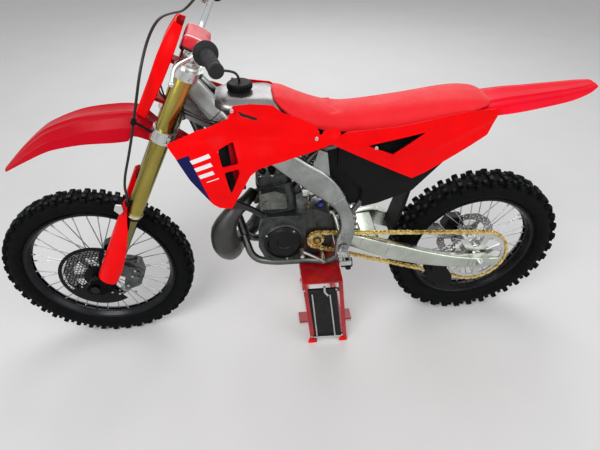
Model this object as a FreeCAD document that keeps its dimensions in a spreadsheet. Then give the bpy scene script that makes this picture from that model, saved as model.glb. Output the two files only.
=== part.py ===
import FreeCAD, Part
import math
import os
import Sketcher
from FreeCAD import Placement, Rotation, Vector

# A full-size motocross motorcycle held upright on a steel lift stand.
# Row frame: millimetres, +X towards the rear wheel, +Y to the rider's right, +Z up.
# The origin is on the ground, half way between the front of the front tyre and the back of the rear one.

doc = FreeCAD.newDocument("dirt_bike")
sheet = doc.addObject("Spreadsheet::Sheet", "Sizes")

# Driving dimensions: alias, millimetres (degrees where the note says so), note
SIZES = [
    ("wheelbase", 1478, "front axle to rear axle"),
    ("front_tyre_radius", 348, "80/100-21 tyre over its knobs"),
    ("rear_tyre_radius", 340, "110/90-19 tyre over its knobs"),
    ("front_tyre_width", 84, "over the shoulder knobs"),
    ("rear_tyre_width", 116, "over the shoulder knobs"),
    ("front_rim_radius", 276, "outer edge of the rim's flanges"),
    ("rear_rim_radius", 252, "outer edge of the rim's flanges"),
    ("front_rim_width", 50, "over the flanges"),
    ("rear_rim_width", 66, "over the flanges"),
    ("rim_depth", 23, "flange edge to the inner face with the spoke nipples"),
    ("rim_wall", 2.6, "flange thickness"),
    ("seat_gap", 0.3, "clearance between pieces that rest on each other"),
    ("spoke_radius", 1.9, "spoke wire"),
    ("front_flange_radius", 31, "front hub's spoke flanges"),
    ("rear_flange_radius", 46, "rear hub's spoke flanges"),
    ("hub_flange_spread", 29, "wheel centre to a spoke flange"),
    ("hub_flange_thickness", 5, "spoke flange"),
    ("hub_half_length", 56, "wheel centre to the end of the hub"),
    ("front_axle_radius", 11, "front axle"),
    ("rear_axle_radius", 12.5, "rear axle"),
    ("axle_clearance", 0.3, "radial play of hub on axle, of stem in head and of a pivot in its bore"),
    ("disc_thickness", 3, "brake discs"),
    ("front_disc_radius", 130, "front brake disc"),
    ("rear_disc_radius", 120, "rear brake disc"),
    ("disc_offset", 50, "wheel centre to brake disc"),
    ("caster", 27.1, "steering axis from vertical, degrees"),
    ("axle_offset", 57, "steering axis to front axle"),
    ("leg_offset", 22, "steering axis to fork leg"),
    ("leg_spread", 102, "centre plane to fork leg"),
    ("outer_tube_radius", 27.5, "fork outer tube at the clamps"),
    ("outer_tube_foot_radius", 27, "fork outer tube at its lower end"),
    ("inner_tube_radius", 24, "fork inner tube"),
    ("outer_tube_start", 376, "lower end of the outer tube, up the steering axis from the axle's foot"),
    ("outer_tube_end", 927, "upper end of the outer tube"),
    ("lower_clamp_height", 684, "underside of the lower clamp"),
    ("lower_clamp_thickness", 40, "lower clamp"),
    ("upper_clamp_height", 896, "underside of the upper clamp"),
    ("upper_clamp_thickness", 28, "upper clamp"),
    ("clamp_wall", 9, "metal round a fork tube in its clamp"),
    ("stem_radius", 14, "steering stem"),
    ("head_radius", 28, "frame's steering head"),
    ("head_clearance", 6, "steering head to each clamp"),
    ("lug_thickness", 42, "fork's axle lug"),
    ("bar_rise", 968, "handlebar's middle, up the steering axis"),
    ("bar_radius", 11.1, "handlebar tube"),
    ("bar_half_width", 402, "centre plane to the bar's end"),
    ("grip_radius", 16.5, "grip"),
    ("grip_length", 118, "grip"),
    ("grip_flange_radius", 30, "grip's inner flange"),
    ("panel_thickness", 4, "moulded plastic panels"),
    ("swingarm_pivot_height", 470, "pivot over the ground"),
    ("swingarm_pivot_back", 186, "pivot behind the origin"),
    ("swingarm_inner", 88, "centre plane to a beam's inner face"),
    ("swingarm_beam_width", 32, "swingarm beam"),
    ("pivot_radius", 12, "pivot bolt"),
    ("chain_line", 74, "centre plane to chain"),
    ("chain_pitch", 15.875, "chain"),
    ("front_teeth", 13, "countershaft sprocket, a count"),
    ("rear_teeth", 49, "rear sprocket, a count"),
    ("roller_radius", 4.4, "chain roller"),
    ("chain_width", 15, "over the outer plates"),
    ("chain_plate_height", 14, "chain plates"),
    ("guide_gap", 6, "running clearance of fixed pieces round the turning chain wheel"),
    ("sprocket_thickness", 6, "rear sprocket"),
    ("countershaft_back", 93, "countershaft behind the origin"),
    ("countershaft_height", 479, "countershaft over the ground"),
    ("crank_back", -30, "crankshaft from the origin"),
    ("crank_height", 500, "crankshaft over the ground"),
    ("case_half_width", 82, "crankcase"),
    ("flywheel_cover_radius", 64, "left engine cover"),
    ("clutch_cover_radius", 74, "right engine cover"),
    ("engine_cover_depth", 24, "engine covers"),
    ("cylinder_radius", 58, "cylinder's water jacket"),
    ("cylinder_height", 118, "cylinder from its base to the head"),
    ("cylinder_lean", 8, "forward lean of the cylinder, degrees"),
    ("head_height", 34, "cylinder head"),
    ("rail_radius", 14, "lower cradle rails"),
    ("rail_spread", 76, "centre plane to a cradle rail"),
    ("rail_height", 381, "cradle rail's centre over the ground"),
    ("tube_radius_front", 17, "frame's down tube"),
    ("subframe_radius", 10, "rear subframe tubes"),
    ("peg_length", 58, "footrest"),
    ("peg_height", 452, "footrest over the ground"),
    ("peg_back", 182, "footrest behind the origin"),
    ("hose_radius", 4, "brake hose"),
    ("cable_radius", 3, "clutch and throttle cables"),
    ("vent_radius", 4, "tank vent hose"),
    ("cap_radius", 37, "fuel cap"),
    ("stand_top_length", 152, "lift stand's top, along the bike"),
    ("stand_half_width", 190, "lift stand's top, half its width across the bike"),
    ("stand_plate", 6, "lift stand's top plate"),
    ("stand_leg_width", 16, "lift stand's legs"),
    ("stand_leg_thickness", 6, "lift stand's legs"),
    ("stand_back", 27, "front edge of the lift stand's top behind the origin"),
    ("stand_shift", 40, "how far the legs slope back on their way down"),
    ("stand_foot_reach", 50, "lift stand's side feet beyond its legs"),
]
for row, (alias, millimetres, note) in enumerate(SIZES, start=1):
    sheet.set("A%d" % row, alias)
    sheet.set("B%d" % row, str(millimetres))
    sheet.set("C%d" % row, note)
    sheet.setAlias("B%d" % row, alias)
doc.recompute()


class Cells:
    """Reads the sheet's cells by alias, as plain numbers."""

    def __getattr__(self, alias):
        return float(getattr(sheet, alias))


S = Cells()
NODES = []
UP = Vector(0, 0, 1)
ACROSS = Vector(0, 1, 0)


def keep(item, label):
    """Names a finished sub-part. Its label names its file."""
    item.Label = label
    NODES.append(item)
    return item


# Reference points that several pieces share
overall_length = S.front_tyre_radius + S.wheelbase + S.rear_tyre_radius
FRONT_AXLE = Vector(-overall_length / 2 + S.front_tyre_radius, 0, S.front_tyre_radius)
REAR_AXLE = Vector(overall_length / 2 - S.rear_tyre_radius, 0, S.rear_tyre_radius)
PIVOT = Vector(S.swingarm_pivot_back, 0, S.swingarm_pivot_height)
COUNTERSHAFT = Vector(S.countershaft_back, 0, S.countershaft_height)
CRANK = Vector(S.crank_back, 0, S.crank_height)
caster_angle = math.radians(S.caster)
steer_foot = FRONT_AXLE + Vector(math.cos(caster_angle), 0, -math.sin(caster_angle)) * S.axle_offset
# The steering frame: its Z runs up the steering axis, its X square to it towards the rear, its origin level with the axle
STEER = Placement(steer_foot, Rotation(ACROSS, S.caster))
WHEEL_TURN = Rotation(Vector(1, 0, 0), -90)


def steered(x, y, z):
    """A point of the steering frame in the row frame."""
    return STEER.multVec(Vector(x, y, z))


# Sketch and feature helpers
def origin_plane(body, role):
    return [item for item in body.Origin.OriginFeatures if item.Role == role][0]


def new_body(name, placement=Placement()):
    body = doc.addObject("PartDesign::Body", name)
    body.Placement = placement
    return body


def sketch(body, name, role, edges):
    """A sketch on one of the body's own origin planes, holding these edges."""
    drawn = body.newObject("Sketcher::SketchObject", name)
    drawn.AttachmentSupport = [(origin_plane(body, role), "")]
    drawn.MapMode = "FlatFace"
    drawn.addGeometry(edges, False)
    return drawn


def polygon(points):
    """Straight edges round a closed outline of (u, v) points."""
    corners = [Vector(u, v, 0) for u, v in points]
    return [Part.LineSegment(a, b) for a, b in zip(corners, corners[1:] + corners[:1])]


def rounded(points):
    """Edges round a closed outline of (u, v, corner radius) points, each corner an arc of its radius."""
    count = len(points)
    starts = []
    for index in range(count):
        before, here, after = (Vector(*points[(index + k) % count][:2], 0) for k in (-1, 0, 1))
        radius = points[index][2]
        to_before = (before - here).normalize()
        to_after = (after - here).normalize()
        half = to_before.getAngle(to_after) / 2
        if radius <= 0 or half > math.radians(89.5):
            starts.append((here, None, here))
            continue
        setback = radius / math.tan(half)
        towards = (to_before + to_after).normalize()
        middle = here + towards * (radius / math.sin(half) - radius)
        starts.append((here + to_before * setback, middle, here + to_after * setback))
    edges = []
    for index in range(count):
        enter, middle, leave = starts[index]
        if middle is not None:
            edges.append(Part.Arc(enter, middle, leave))
        following = starts[(index + 1) % count][0]
        if (following - leave).Length > 1e-6:
            edges.append(Part.LineSegment(leave, following))
    return edges


def circle(u, v, radius):
    return Part.Circle(Vector(u, v, 0), UP, radius)


def link(item, prop, formula):
    """Binds a property to the sheet. Each word of the formula that is an alias gets the sheet's name."""
    item.setExpression(prop, formula.replace("$", "Sizes."))


def pad(body, drawn, formula, name, midplane=True, reverse=False):
    made = body.newObject("PartDesign::Pad", name)
    made.Profile = drawn
    made.Midplane = midplane
    made.Reversed = reverse
    link(made, "Length", formula)
    return made


def revolution(body, drawn, name, axis="V_Axis"):
    made = body.newObject("PartDesign::Revolution", name)
    made.Profile = drawn
    made.ReferenceAxis = (drawn, [axis])
    made.Angle = 360
    return made


def turned(name, profile, placement, axis="V_Axis"):
    """A body made by turning a closed (radius, height) profile about its local Z."""
    body = new_body(name, placement)
    drawn = sketch(body, name + "_profile", "XZ_Plane", polygon(profile))
    revolution(body, drawn, name + "_turned", axis)
    return body


def solid_of(shape):
    """The shape itself, or its only solid."""
    return shape.Solids[0] if len(shape.Solids) == 1 else shape


def feature(name, shape):
    made = doc.addObject("Part::Feature", name)
    made.Shape = solid_of(shape)
    return made


def mirrored(shape):
    return shape.mirror(Vector(0, 0, 0), ACROSS)


def cylinder(start, end, radius):
    along = end - start
    return Part.makeCylinder(radius, along.Length, start, along)


def prism(outline, y_low, y_high):
    """A side-view outline of (x, z) or (x, z, corner radius) points, carried across the bike from y_low to y_high."""
    points = [(p[0], p[1], p[2] if len(p) > 2 else 0) for p in outline]
    flat = Part.Wire(Part.__sortEdges__([edge.toShape() for edge in rounded(points)]))
    flat.transformShape(Placement(Vector(0, y_low, 0), Rotation(Vector(1, 0, 0), 90)).toMatrix())
    return Part.Face(flat).extrude(Vector(0, y_high - y_low, 0))


def loft(sections):
    """A solid skinned straight between closed sections that have equally many corners."""
    wires = [Part.makePolygon([Vector(*p) for p in ring] + [Vector(*ring[0])]) for ring in sections]
    made = Part.makeLoft(wires, True, True)
    if made.Volume < 0:
        made.reverse()
    return made


def beam(stations):
    """A bar of chamfered oblong section. Each station is (x, y, z, slope in degrees, height, width)."""
    rings = []
    for x, y, z, slope, height, width in stations:
        tilt = math.radians(slope)
        normal = Vector(-math.sin(tilt), 0, math.cos(tilt))
        cut = min(height, width) * 0.24
        ring = []
        for across, up in (
            (-width / 2, height / 2 - cut), (-width / 2 + cut, height / 2),
            (width / 2 - cut, height / 2), (width / 2, height / 2 - cut),
            (width / 2, -height / 2 + cut), (width / 2 - cut, -height / 2),
            (-width / 2 + cut, -height / 2), (-width / 2, -height / 2 + cut),
        ):
            ring.append(tuple(Vector(x, y + across, z) + normal * up))
        rings.append(ring)
    return loft(rings)


def bent_wire(points, share=0.45):
    """Straight runs joined by tangent arcs, each of which takes this share of its shorter run."""
    corners = [Vector(*p) for p in points]
    edges = []
    last = corners[0]
    for before, here, after in zip(corners, corners[1:], corners[2:]):
        back = (before - here).normalize()
        ahead = (after - here).normalize()
        half = back.getAngle(ahead) / 2
        setback = share * min((before - here).Length, (after - here).Length)
        radius = setback * math.tan(half)
        enter = here + back * setback
        leave = here + ahead * setback
        towards = (back + ahead).normalize()
        middle = here + towards * (radius / math.sin(half) - radius)
        edges.append(Part.LineSegment(last, enter).toShape())
        edges.append(Part.Arc(enter, middle, leave).toShape())
        last = leave
    edges.append(Part.LineSegment(last, corners[-1]).toShape())
    return Part.Wire(edges)


def tube(points, radius, share=0.45):
    """A round bar along straight runs and tangent arcs."""
    wire = bent_wire(points, share)
    first = Vector(*points[1]) - Vector(*points[0])
    ring = Part.Wire(Part.makeCircle(radius, Vector(*points[0]), first))
    made = wire.makePipeShell([ring], True, False)
    return made


# Wheels
def make_tyre(name, centre, tyre_radius, tyre_width, rim_radius, rim_width):
    """A solid tyre ring out to the tips of its knobs, seated in the rim's channel."""
    half = tyre_width / 2
    seat_half = rim_width / 2 - S.rim_wall - S.seat_gap
    seat = rim_radius - 8 + S.seat_gap
    depth = tyre_radius - rim_radius
    profile = [
        (seat, -seat_half), (rim_radius + 3, -seat_half),
        (rim_radius + depth * 0.16, -half * 0.80), (rim_radius + depth * 0.50, -half * 0.97),
        (rim_radius + depth * 0.78, -half), (tyre_radius - depth * 0.08, -half * 0.72),
        (tyre_radius, -half * 0.34), (tyre_radius, half * 0.34),
        (tyre_radius - depth * 0.08, half * 0.72), (rim_radius + depth * 0.78, half),
        (rim_radius + depth * 0.50, half * 0.97), (rim_radius + depth * 0.16, half * 0.80),
        (rim_radius + 3, seat_half), (seat, seat_half),
    ]
    return keep(turned(name, profile, Placement(centre, WHEEL_TURN)), name)


def make_rim(name, centre, rim_radius, rim_width):
    """A channel rim with upright flanges and a sloping well."""
    half = rim_width / 2
    inner = rim_radius - S.rim_depth
    profile = [
        (rim_radius, -half), (rim_radius - 12, -half), (inner, -half * 0.45), (inner, half * 0.45),
        (rim_radius - 12, half), (rim_radius, half), (rim_radius, half - S.rim_wall),
        (rim_radius - 8, half - S.rim_wall), (rim_radius - 8, S.rim_wall - half),
        (rim_radius, S.rim_wall - half),
    ]
    return keep(turned(name, profile, Placement(centre, WHEEL_TURN)), name)


def make_hub(name, centre, flange_radius, bore, carriers):
    """A hub turned in one piece. carriers holds, for each side, (side, radius, outer face, end of the hub)."""
    spread, thick = S.hub_flange_spread, S.hub_flange_thickness
    barrel = flange_radius * 0.62
    profile = []
    for side, radius, face, end in carriers:
        steps = [(barrel, spread - thick / 2), (flange_radius, spread - thick / 2),
                 (flange_radius, spread + thick / 2), (barrel, spread + thick / 2)]
        if radius > 0:
            steps += [(barrel, face - 5), (radius, face - 5), (radius, face), (barrel * 0.9, face)]
        steps += [(barrel * 0.9, end), (bore, end)]
        # The body's Z runs to the bike's right, so the left side's heights are negative
        steps = [(r, side * h) for r, h in steps]
        profile += steps if side == 1 else steps[::-1]
    return keep(turned(name, profile, Placement(centre, WHEEL_TURN)), name)


def make_spokes(name, centre, flange_radius, rim_inner, count=36):
    """Crossed wire spokes, half from each hub flange, from the flange's sides to the rim's inner face."""
    wires = []
    lean = math.radians(38)
    for index in range(count):
        side = 1 if index % 2 else -1
        way = 1 if (index // 2) % 2 else -1
        at_rim = 2 * math.pi * index / count
        at_hub = at_rim + way * lean
        sweep_in = 5 * S.hub_flange_spread / (rim_inner - flange_radius)
        outer = S.hub_flange_thickness / 2 + S.spoke_radius + S.seat_gap + sweep_in
        hub_y = side * (S.hub_flange_spread + way * outer)
        start_radius = flange_radius - 4
        end_radius = rim_inner - 1.2
        start = Vector(start_radius * math.cos(at_hub), hub_y, start_radius * math.sin(at_hub))
        end = Vector(end_radius * math.cos(at_rim), side * 4, end_radius * math.sin(at_rim))
        wires.append(cylinder(centre + start, centre + end, S.spoke_radius))
    made = doc.addObject("Part::Feature", name)
    made.Shape = Part.makeCompound(wires)
    return keep(made, name)


def make_disc(name, centre, side, radius, carrier_radius, arms=6):
    """A brake disc: a flat ring with a scalloped edge on arms that reach in to the hub's carrier."""
    place = Placement(centre + ACROSS * (side * S.disc_offset), WHEEL_TURN)
    body = new_body(name, place)
    band = radius * 0.26
    ring = sketch(body, name + "_ring", "XY_Plane", [circle(0, 0, radius), circle(0, 0, radius - band)])
    pad(body, ring, "$disc_thickness", name + "_band")
    reach_in = carrier_radius - 12
    arm = sketch(body, name + "_arm", "XY_Plane", polygon([
        (reach_in, -7), (radius - band + 4, -9), (radius - band + 4, 9), (reach_in, 7),
    ]))
    arm_pad = pad(body, arm, "$disc_thickness", name + "_arm_pad")
    around = body.newObject("PartDesign::PolarPattern", name + "_arms")
    around.Originals = [arm_pad]
    around.Axis = (arm, ["N_Axis"])
    around.Angle = 360
    around.Occurrences = arms
    body.Tip = around
    collar = sketch(body, name + "_collar", "XY_Plane", [circle(0, 0, carrier_radius), circle(0, 0, reach_in)])
    pad(body, collar, "$disc_thickness", name + "_collar_pad")
    return keep(body, name)


front_bore = S.front_axle_radius + S.axle_clearance
rear_bore = S.rear_axle_radius + S.axle_clearance
make_tyre("front_tyre", FRONT_AXLE, S.front_tyre_radius, S.front_tyre_width, S.front_rim_radius, S.front_rim_width)
make_tyre("rear_tyre", REAR_AXLE, S.rear_tyre_radius, S.rear_tyre_width, S.rear_rim_radius, S.rear_rim_width)
make_rim("front_rim", FRONT_AXLE, S.front_rim_radius, S.front_rim_width)
make_rim("rear_rim", REAR_AXLE, S.rear_rim_radius, S.rear_rim_width)
front_carrier = 40
rear_carrier = 52
disc_seat = S.disc_offset - S.disc_thickness / 2 - S.seat_gap
sprocket_seat = S.chain_line - S.sprocket_thickness / 2 - S.seat_gap
make_hub("front_hub", FRONT_AXLE, S.front_flange_radius, front_bore,
         [(-1, front_carrier, disc_seat, S.hub_half_length), (1, 0, 0, S.hub_half_length)])
make_hub("rear_hub", REAR_AXLE, S.rear_flange_radius, rear_bore,
         [(-1, rear_carrier, sprocket_seat, sprocket_seat + 12), (1, rear_carrier, disc_seat, S.hub_half_length)])
make_spokes("front_spokes", FRONT_AXLE, S.front_flange_radius, S.front_rim_radius - S.rim_depth)
make_spokes("rear_spokes", REAR_AXLE, S.rear_flange_radius, S.rear_rim_radius - S.rim_depth)
make_disc("front_disc", FRONT_AXLE, -1, S.front_disc_radius, front_carrier)
make_disc("rear_disc", REAR_AXLE, 1, S.rear_disc_radius, rear_carrier)

# Solids made straight from the sheet, and booleans between them
def rod(name, start, end, formula, place=Placement()):
    """A cylinder whose radius follows the sheet, in the frame of place."""
    made = doc.addObject("Part::Cylinder", name)
    link(made, "Radius", formula)
    made.Height = (end - start).Length
    made.Placement = place.multiply(Placement(start, Rotation(UP, end - start)))
    return made


def joined(name, items):
    made = doc.addObject("Part::MultiFuse", name)
    made.Shapes = items
    return made


def less(name, base, tools):
    made = doc.addObject("Part::Cut", name)
    made.Base = base
    made.Tool = tools[0] if len(tools) == 1 else joined(name + "_tools", tools)
    return made


def shaped(name, shape, place=Placement()):
    made = feature(name, shape)
    made.Placement = place
    return made


def block(name, low, high, place=Placement()):
    made = doc.addObject("Part::Box", name)
    made.Length, made.Width, made.Height = (high[i] - low[i] for i in range(3))
    made.Placement = place.multiply(Placement(Vector(*low), Rotation()))
    return made


def sheet_solid(stations, thickness):
    """A moulded panel skinned between stations. Each holds the points (x, y, z) of its outer line, top or
    outside first; the inner line lies the thickness to the inside."""
    rings = []
    for outer in stations:
        line = [Vector(*p) for p in outer]
        inner = []
        for index, point in enumerate(line):
            ahead = line[min(index + 1, len(line) - 1)] - line[max(index - 1, 0)]
            across = ahead.cross(Vector(1, 0, 0)).normalize()
            inner.append(point + across * thickness)
        rings.append([tuple(p) for p in line] + [tuple(p) for p in reversed(inner)])
    return loft(rings)


def arch(stations, thickness):
    """A fender skinned between stations (x, z, slope, half width, drop). Its line runs over the crown."""
    rings = []
    for x, z, slope, half, drop in stations:
        tilt = math.radians(slope)
        normal = Vector(-math.sin(tilt), 0, math.cos(tilt))
        crown = Vector(x, 0, z)
        outer = [crown + ACROSS * (half * share) - normal * (drop * fall)
                 for share, fall in ((-1, 1), (-0.72, 0.28), (0, 0), (0.72, 0.28), (1, 1))]
        inner = [p - normal * thickness for p in outer]
        rings.append([tuple(p) for p in outer] + [tuple(p) for p in reversed(inner)])
    return loft(rings)


# Brake and chain wheel on the rear hub, and the axles
def make_sprocket(name, centre, y, teeth, thickness_formula, hole, arms):
    """A chain wheel whose teeth end just below the fixed chain's rollers, with lightening slots between its arms."""
    pitch = S.chain_pitch / (2 * math.sin(math.pi / teeth))
    tip = pitch - S.roller_radius - 1
    root = tip - 3.2
    body = new_body(name, Placement(Vector(centre.x, y, centre.z), WHEEL_TURN))
    outline = []
    step = 2 * math.pi / teeth
    for tooth in range(teeth):
        for share, radius in ((-0.32, root), (-0.14, tip), (0.14, tip), (0.32, root)):
            angle = (tooth + share) * step
            outline.append((radius * math.cos(angle), radius * math.sin(angle)))
    disc = sketch(body, name + "_outline", "XY_Plane", polygon(outline) + [circle(0, 0, hole)])
    pad(body, disc, thickness_formula, name + "_disc")
    if arms:
        inner, outer = hole + 22, root - 12
        half = math.pi / arms
        slot = [(inner * math.cos(a), inner * math.sin(a)) for a in (-half * 0.45, half * 0.45)]
        slot += [(outer * math.cos(a), outer * math.sin(a)) for a in (half * 0.72, 0, -half * 0.72)]
        window = sketch(body, name + "_window", "XY_Plane", polygon(slot))
        cut = body.newObject("PartDesign::Pocket", name + "_slot")
        cut.Profile = window
        cut.Type = 1
        cut.Midplane = True
        around = body.newObject("PartDesign::PolarPattern", name + "_slots")
        around.Originals = [cut]
        around.Axis = (window, ["N_Axis"])
        around.Angle = 360
        around.Occurrences = arms
        body.Tip = around
    return keep(body, name)


barrel_radius = S.rear_flange_radius * 0.62 * 0.9
make_sprocket("rear_sprocket", REAR_AXLE, -S.chain_line, int(S.rear_teeth), "$sprocket_thickness",
              barrel_radius + S.seat_gap, 7)
make_sprocket("front_sprocket", COUNTERSHAFT, -S.chain_line, int(S.front_teeth), "$sprocket_thickness", 11, 0)

beam_inner = S.swingarm_inner
beam_outer = S.swingarm_inner + S.swingarm_beam_width
rear_end = sprocket_seat + 12
rear_axle_parts = [
    rod("rear_axle_bar", REAR_AXLE - ACROSS * (beam_outer + 14), REAR_AXLE + ACROSS * (beam_outer + 14),
        "$rear_axle_radius"),
    rod("rear_axle_nut", REAR_AXLE - ACROSS * (beam_outer + 12), REAR_AXLE - ACROSS * (beam_outer + 0.3),
        "$rear_axle_radius + 5"),
    rod("rear_axle_head", REAR_AXLE + ACROSS * (beam_outer + 0.3), REAR_AXLE + ACROSS * (beam_outer + 10),
        "$rear_axle_radius + 5"),
    rod("rear_spacer_left", REAR_AXLE - ACROSS * (beam_inner - 0.3), REAR_AXLE - ACROSS * (rear_end + 0.5),
        "$rear_axle_radius + 5"),
    rod("rear_spacer_right", REAR_AXLE + ACROSS * (S.hub_half_length + 0.5), REAR_AXLE + ACROSS * (beam_inner - 0.3),
        "$rear_axle_radius + 5"),
]
keep(joined("rear_axle", rear_axle_parts), "rear_axle")
lug_inner = S.leg_spread - S.lug_thickness / 2
lug_outer = S.leg_spread + S.lug_thickness / 2
front_axle_parts = [
    rod("front_axle_bar", FRONT_AXLE - ACROSS * (lug_outer + 3), FRONT_AXLE + ACROSS * (lug_outer + 8),
        "$front_axle_radius"),
    rod("front_axle_nut", FRONT_AXLE - ACROSS * (lug_outer + 8), FRONT_AXLE - ACROSS * (lug_outer + 0.3),
        "$front_axle_radius + 5"),
]
for side in (-1, 1):
    ends = sorted([side * (S.hub_half_length + 0.5), side * (lug_inner - 0.3)])
    front_axle_parts.append(rod("front_spacer_%s" % ("left" if side < 0 else "right"), FRONT_AXLE + ACROSS * ends[0],
                                FRONT_AXLE + ACROSS * ends[1], "$front_axle_radius + 5"))
keep(joined("front_axle", front_axle_parts), "front_axle")

# Swingarm: two tapering beams that spread from the pivot to outside the tyre
# x, y, z, slope, height, width
SWINGARM_BEAM = [
    (S.swingarm_pivot_back, 66, S.swingarm_pivot_height, -7, 56, S.swingarm_beam_width),
    (234, 67, 463, -9, 58, S.swingarm_beam_width),
    (336, beam_inner + S.swingarm_beam_width / 2, 446, -16, 68, S.swingarm_beam_width),
    (400, beam_inner + S.swingarm_beam_width / 2, 421, -18, 74, S.swingarm_beam_width),
    (520, beam_inner + S.swingarm_beam_width / 2, 382, -16, 66, S.swingarm_beam_width),
    (640, beam_inner + S.swingarm_beam_width / 2, 354, -8, 54, S.swingarm_beam_width),
    (REAR_AXLE.x, beam_inner + S.swingarm_beam_width / 2, REAR_AXLE.z + 2, -2, 48, S.swingarm_beam_width),
    (REAR_AXLE.x + 70, beam_inner + S.swingarm_beam_width / 2, REAR_AXLE.z + 1, 0, 42, S.swingarm_beam_width),
]
right_beam = shaped("swingarm_beam", beam(SWINGARM_BEAM))
left_beam = shaped("swingarm_beam_left", mirrored(beam(SWINGARM_BEAM)))
barrel = rod("swingarm_barrel", PIVOT - ACROSS * 82, PIVOT + ACROSS * 82, "$pivot_radius + 15")
bridge = shaped("swingarm_bridge", prism([(258, 440, 6), (330, 420, 6), (330, 474, 6), (258, 486, 6)], -94, 94))
knuckle = shaped("swingarm_knuckle", prism([(PIVOT.x, 452, 0), (262, 444, 4), (262, 480, 4), (PIVOT.x, 488, 0)], -26, 26))
swingarm_solid = joined("swingarm_solid", [right_beam, left_beam, barrel, bridge, knuckle])
swingarm = less("swingarm", swingarm_solid, [
    rod("swingarm_pivot_bore", PIVOT - ACROSS * 130, PIVOT + ACROSS * 130, "$pivot_radius + $axle_clearance"),
    rod("swingarm_axle_bore", REAR_AXLE - ACROSS * 130, REAR_AXLE + ACROSS * 130, "$rear_axle_radius + $axle_clearance"),
])
keep(swingarm, "swingarm")

# Frame: steering head, two spars that bend down into the pivot plates, and the pivot bolt
# x, y, z, slope, height, width
SPAR = [
    (-301, 25, 1083, -52, 66, 26), (-255, 33, 1027, -52, 64, 28), (-190, 68, 955, -42, 60, 32),
    (-80, 98, 885, -38, 60, 32), (18, 106, 800, -42, 60, 32), (72, 108, 752, -42, 58, 32),
    (127, 108, 706, -50, 56, 32), (168, 107, 660, -62, 52, 32), (190, 105, 609, -74, 50, 32),
    (198, 103, 553, -88, 52, 32), (190, 102, 500, -98, 60, 30), (174, 100, 412, -100, 44, 28),
]
right_spar = shaped("spar_right", beam(SPAR))
left_spar = shaped("spar_left", mirrored(beam(SPAR)))
head_low = S.lower_clamp_height + S.lower_clamp_thickness + S.head_clearance
head_high = S.upper_clamp_height - S.head_clearance
steering_head = rod("steering_head", Vector(0, 0, head_low), Vector(0, 0, head_high), "$head_radius", STEER)
spar_bridge = rod("spar_bridge", Vector(182, -96, 640), Vector(182, 96, 640), "$subframe_radius + 8")
pivot_bolt = rod("pivot_bolt", PIVOT - ACROSS * 122, PIVOT + ACROSS * 122, "$pivot_radius")
frame_solid = joined("frame_solid", [right_spar, left_spar, steering_head, spar_bridge, pivot_bolt])
stem_bore = rod("stem_bore", Vector(0, 0, head_low - 60), Vector(0, 0, head_high + 60),
                "$stem_radius + $axle_clearance", STEER)
keep(less("frame_spars", frame_solid, [stem_bore]), "frame_spars")
frame_spars = NODES[-1]

down_tube = shaped("down_tube", tube([(-314, 0, 1001), (-205, 0, 602), (-170, 0, 440)], S.tube_radius_front))
rails = []
for side in (-1, 1):
    rails.append(shaped("cradle_rail_%d" % (side > 0), tube([
        (-180, side * 8, 470), (-150, side * 60, S.rail_height + 8), (-70, side * S.rail_spread, S.rail_height),
        (64, side * S.rail_spread, S.rail_height), (134, side * 103, S.rail_height + 9), (176, side * 103, 426)],
        S.rail_radius)))
rail_cross = rod("cradle_cross", Vector(60, -S.rail_spread, S.rail_height), Vector(60, S.rail_spread, S.rail_height),
                 "$rail_radius - 3")
cradle_solid = joined("cradle_solid", [down_tube, rail_cross] + rails)
head_room = rod("head_room", Vector(0, 0, head_low - 40), Vector(0, 0, head_high), "$head_radius", STEER)
keep(less("frame_cradle", cradle_solid, [frame_spars, head_room]), "frame_cradle")
frame_cradle = NODES[-1]

# Subframe that carries the seat, the rear fender and the side panels
subframe_parts = []
for side in (-1, 1):
    subframe_parts.append(shaped("seat_rail_%d" % (side > 0), tube([
        (24, side * 98, 800), (80, side * 84, 868), (300, side * 70, 905), (480, side * 66, 940), (650, side * 60, 962)],
        S.subframe_radius)))
    subframe_parts.append(shaped("seat_stay_%d" % (side > 0), tube([
        (196, side * 100, 600), (300, side * 80, 742), (470, side * 66, 928)], S.subframe_radius)))
for index, (x, z, half) in enumerate([(300, 905, 70), (642, 961, 61)]):
    subframe_parts.append(rod("seat_cross_%d" % index, Vector(x, -half, z), Vector(x, half, z), "$subframe_radius - 2"))
keep(less("subframe", joined("subframe_solid", subframe_parts), [frame_spars]), "subframe")
subframe = NODES[-1]

# Tank and seat
def barrel_ring(x, rows):
    """Ring of a section at x, from (half width, height) points listed up one side."""
    left = [(x, -w, z) for w, z in rows]
    return left + [(x, w, z) for w, z in reversed(rows)]


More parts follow.
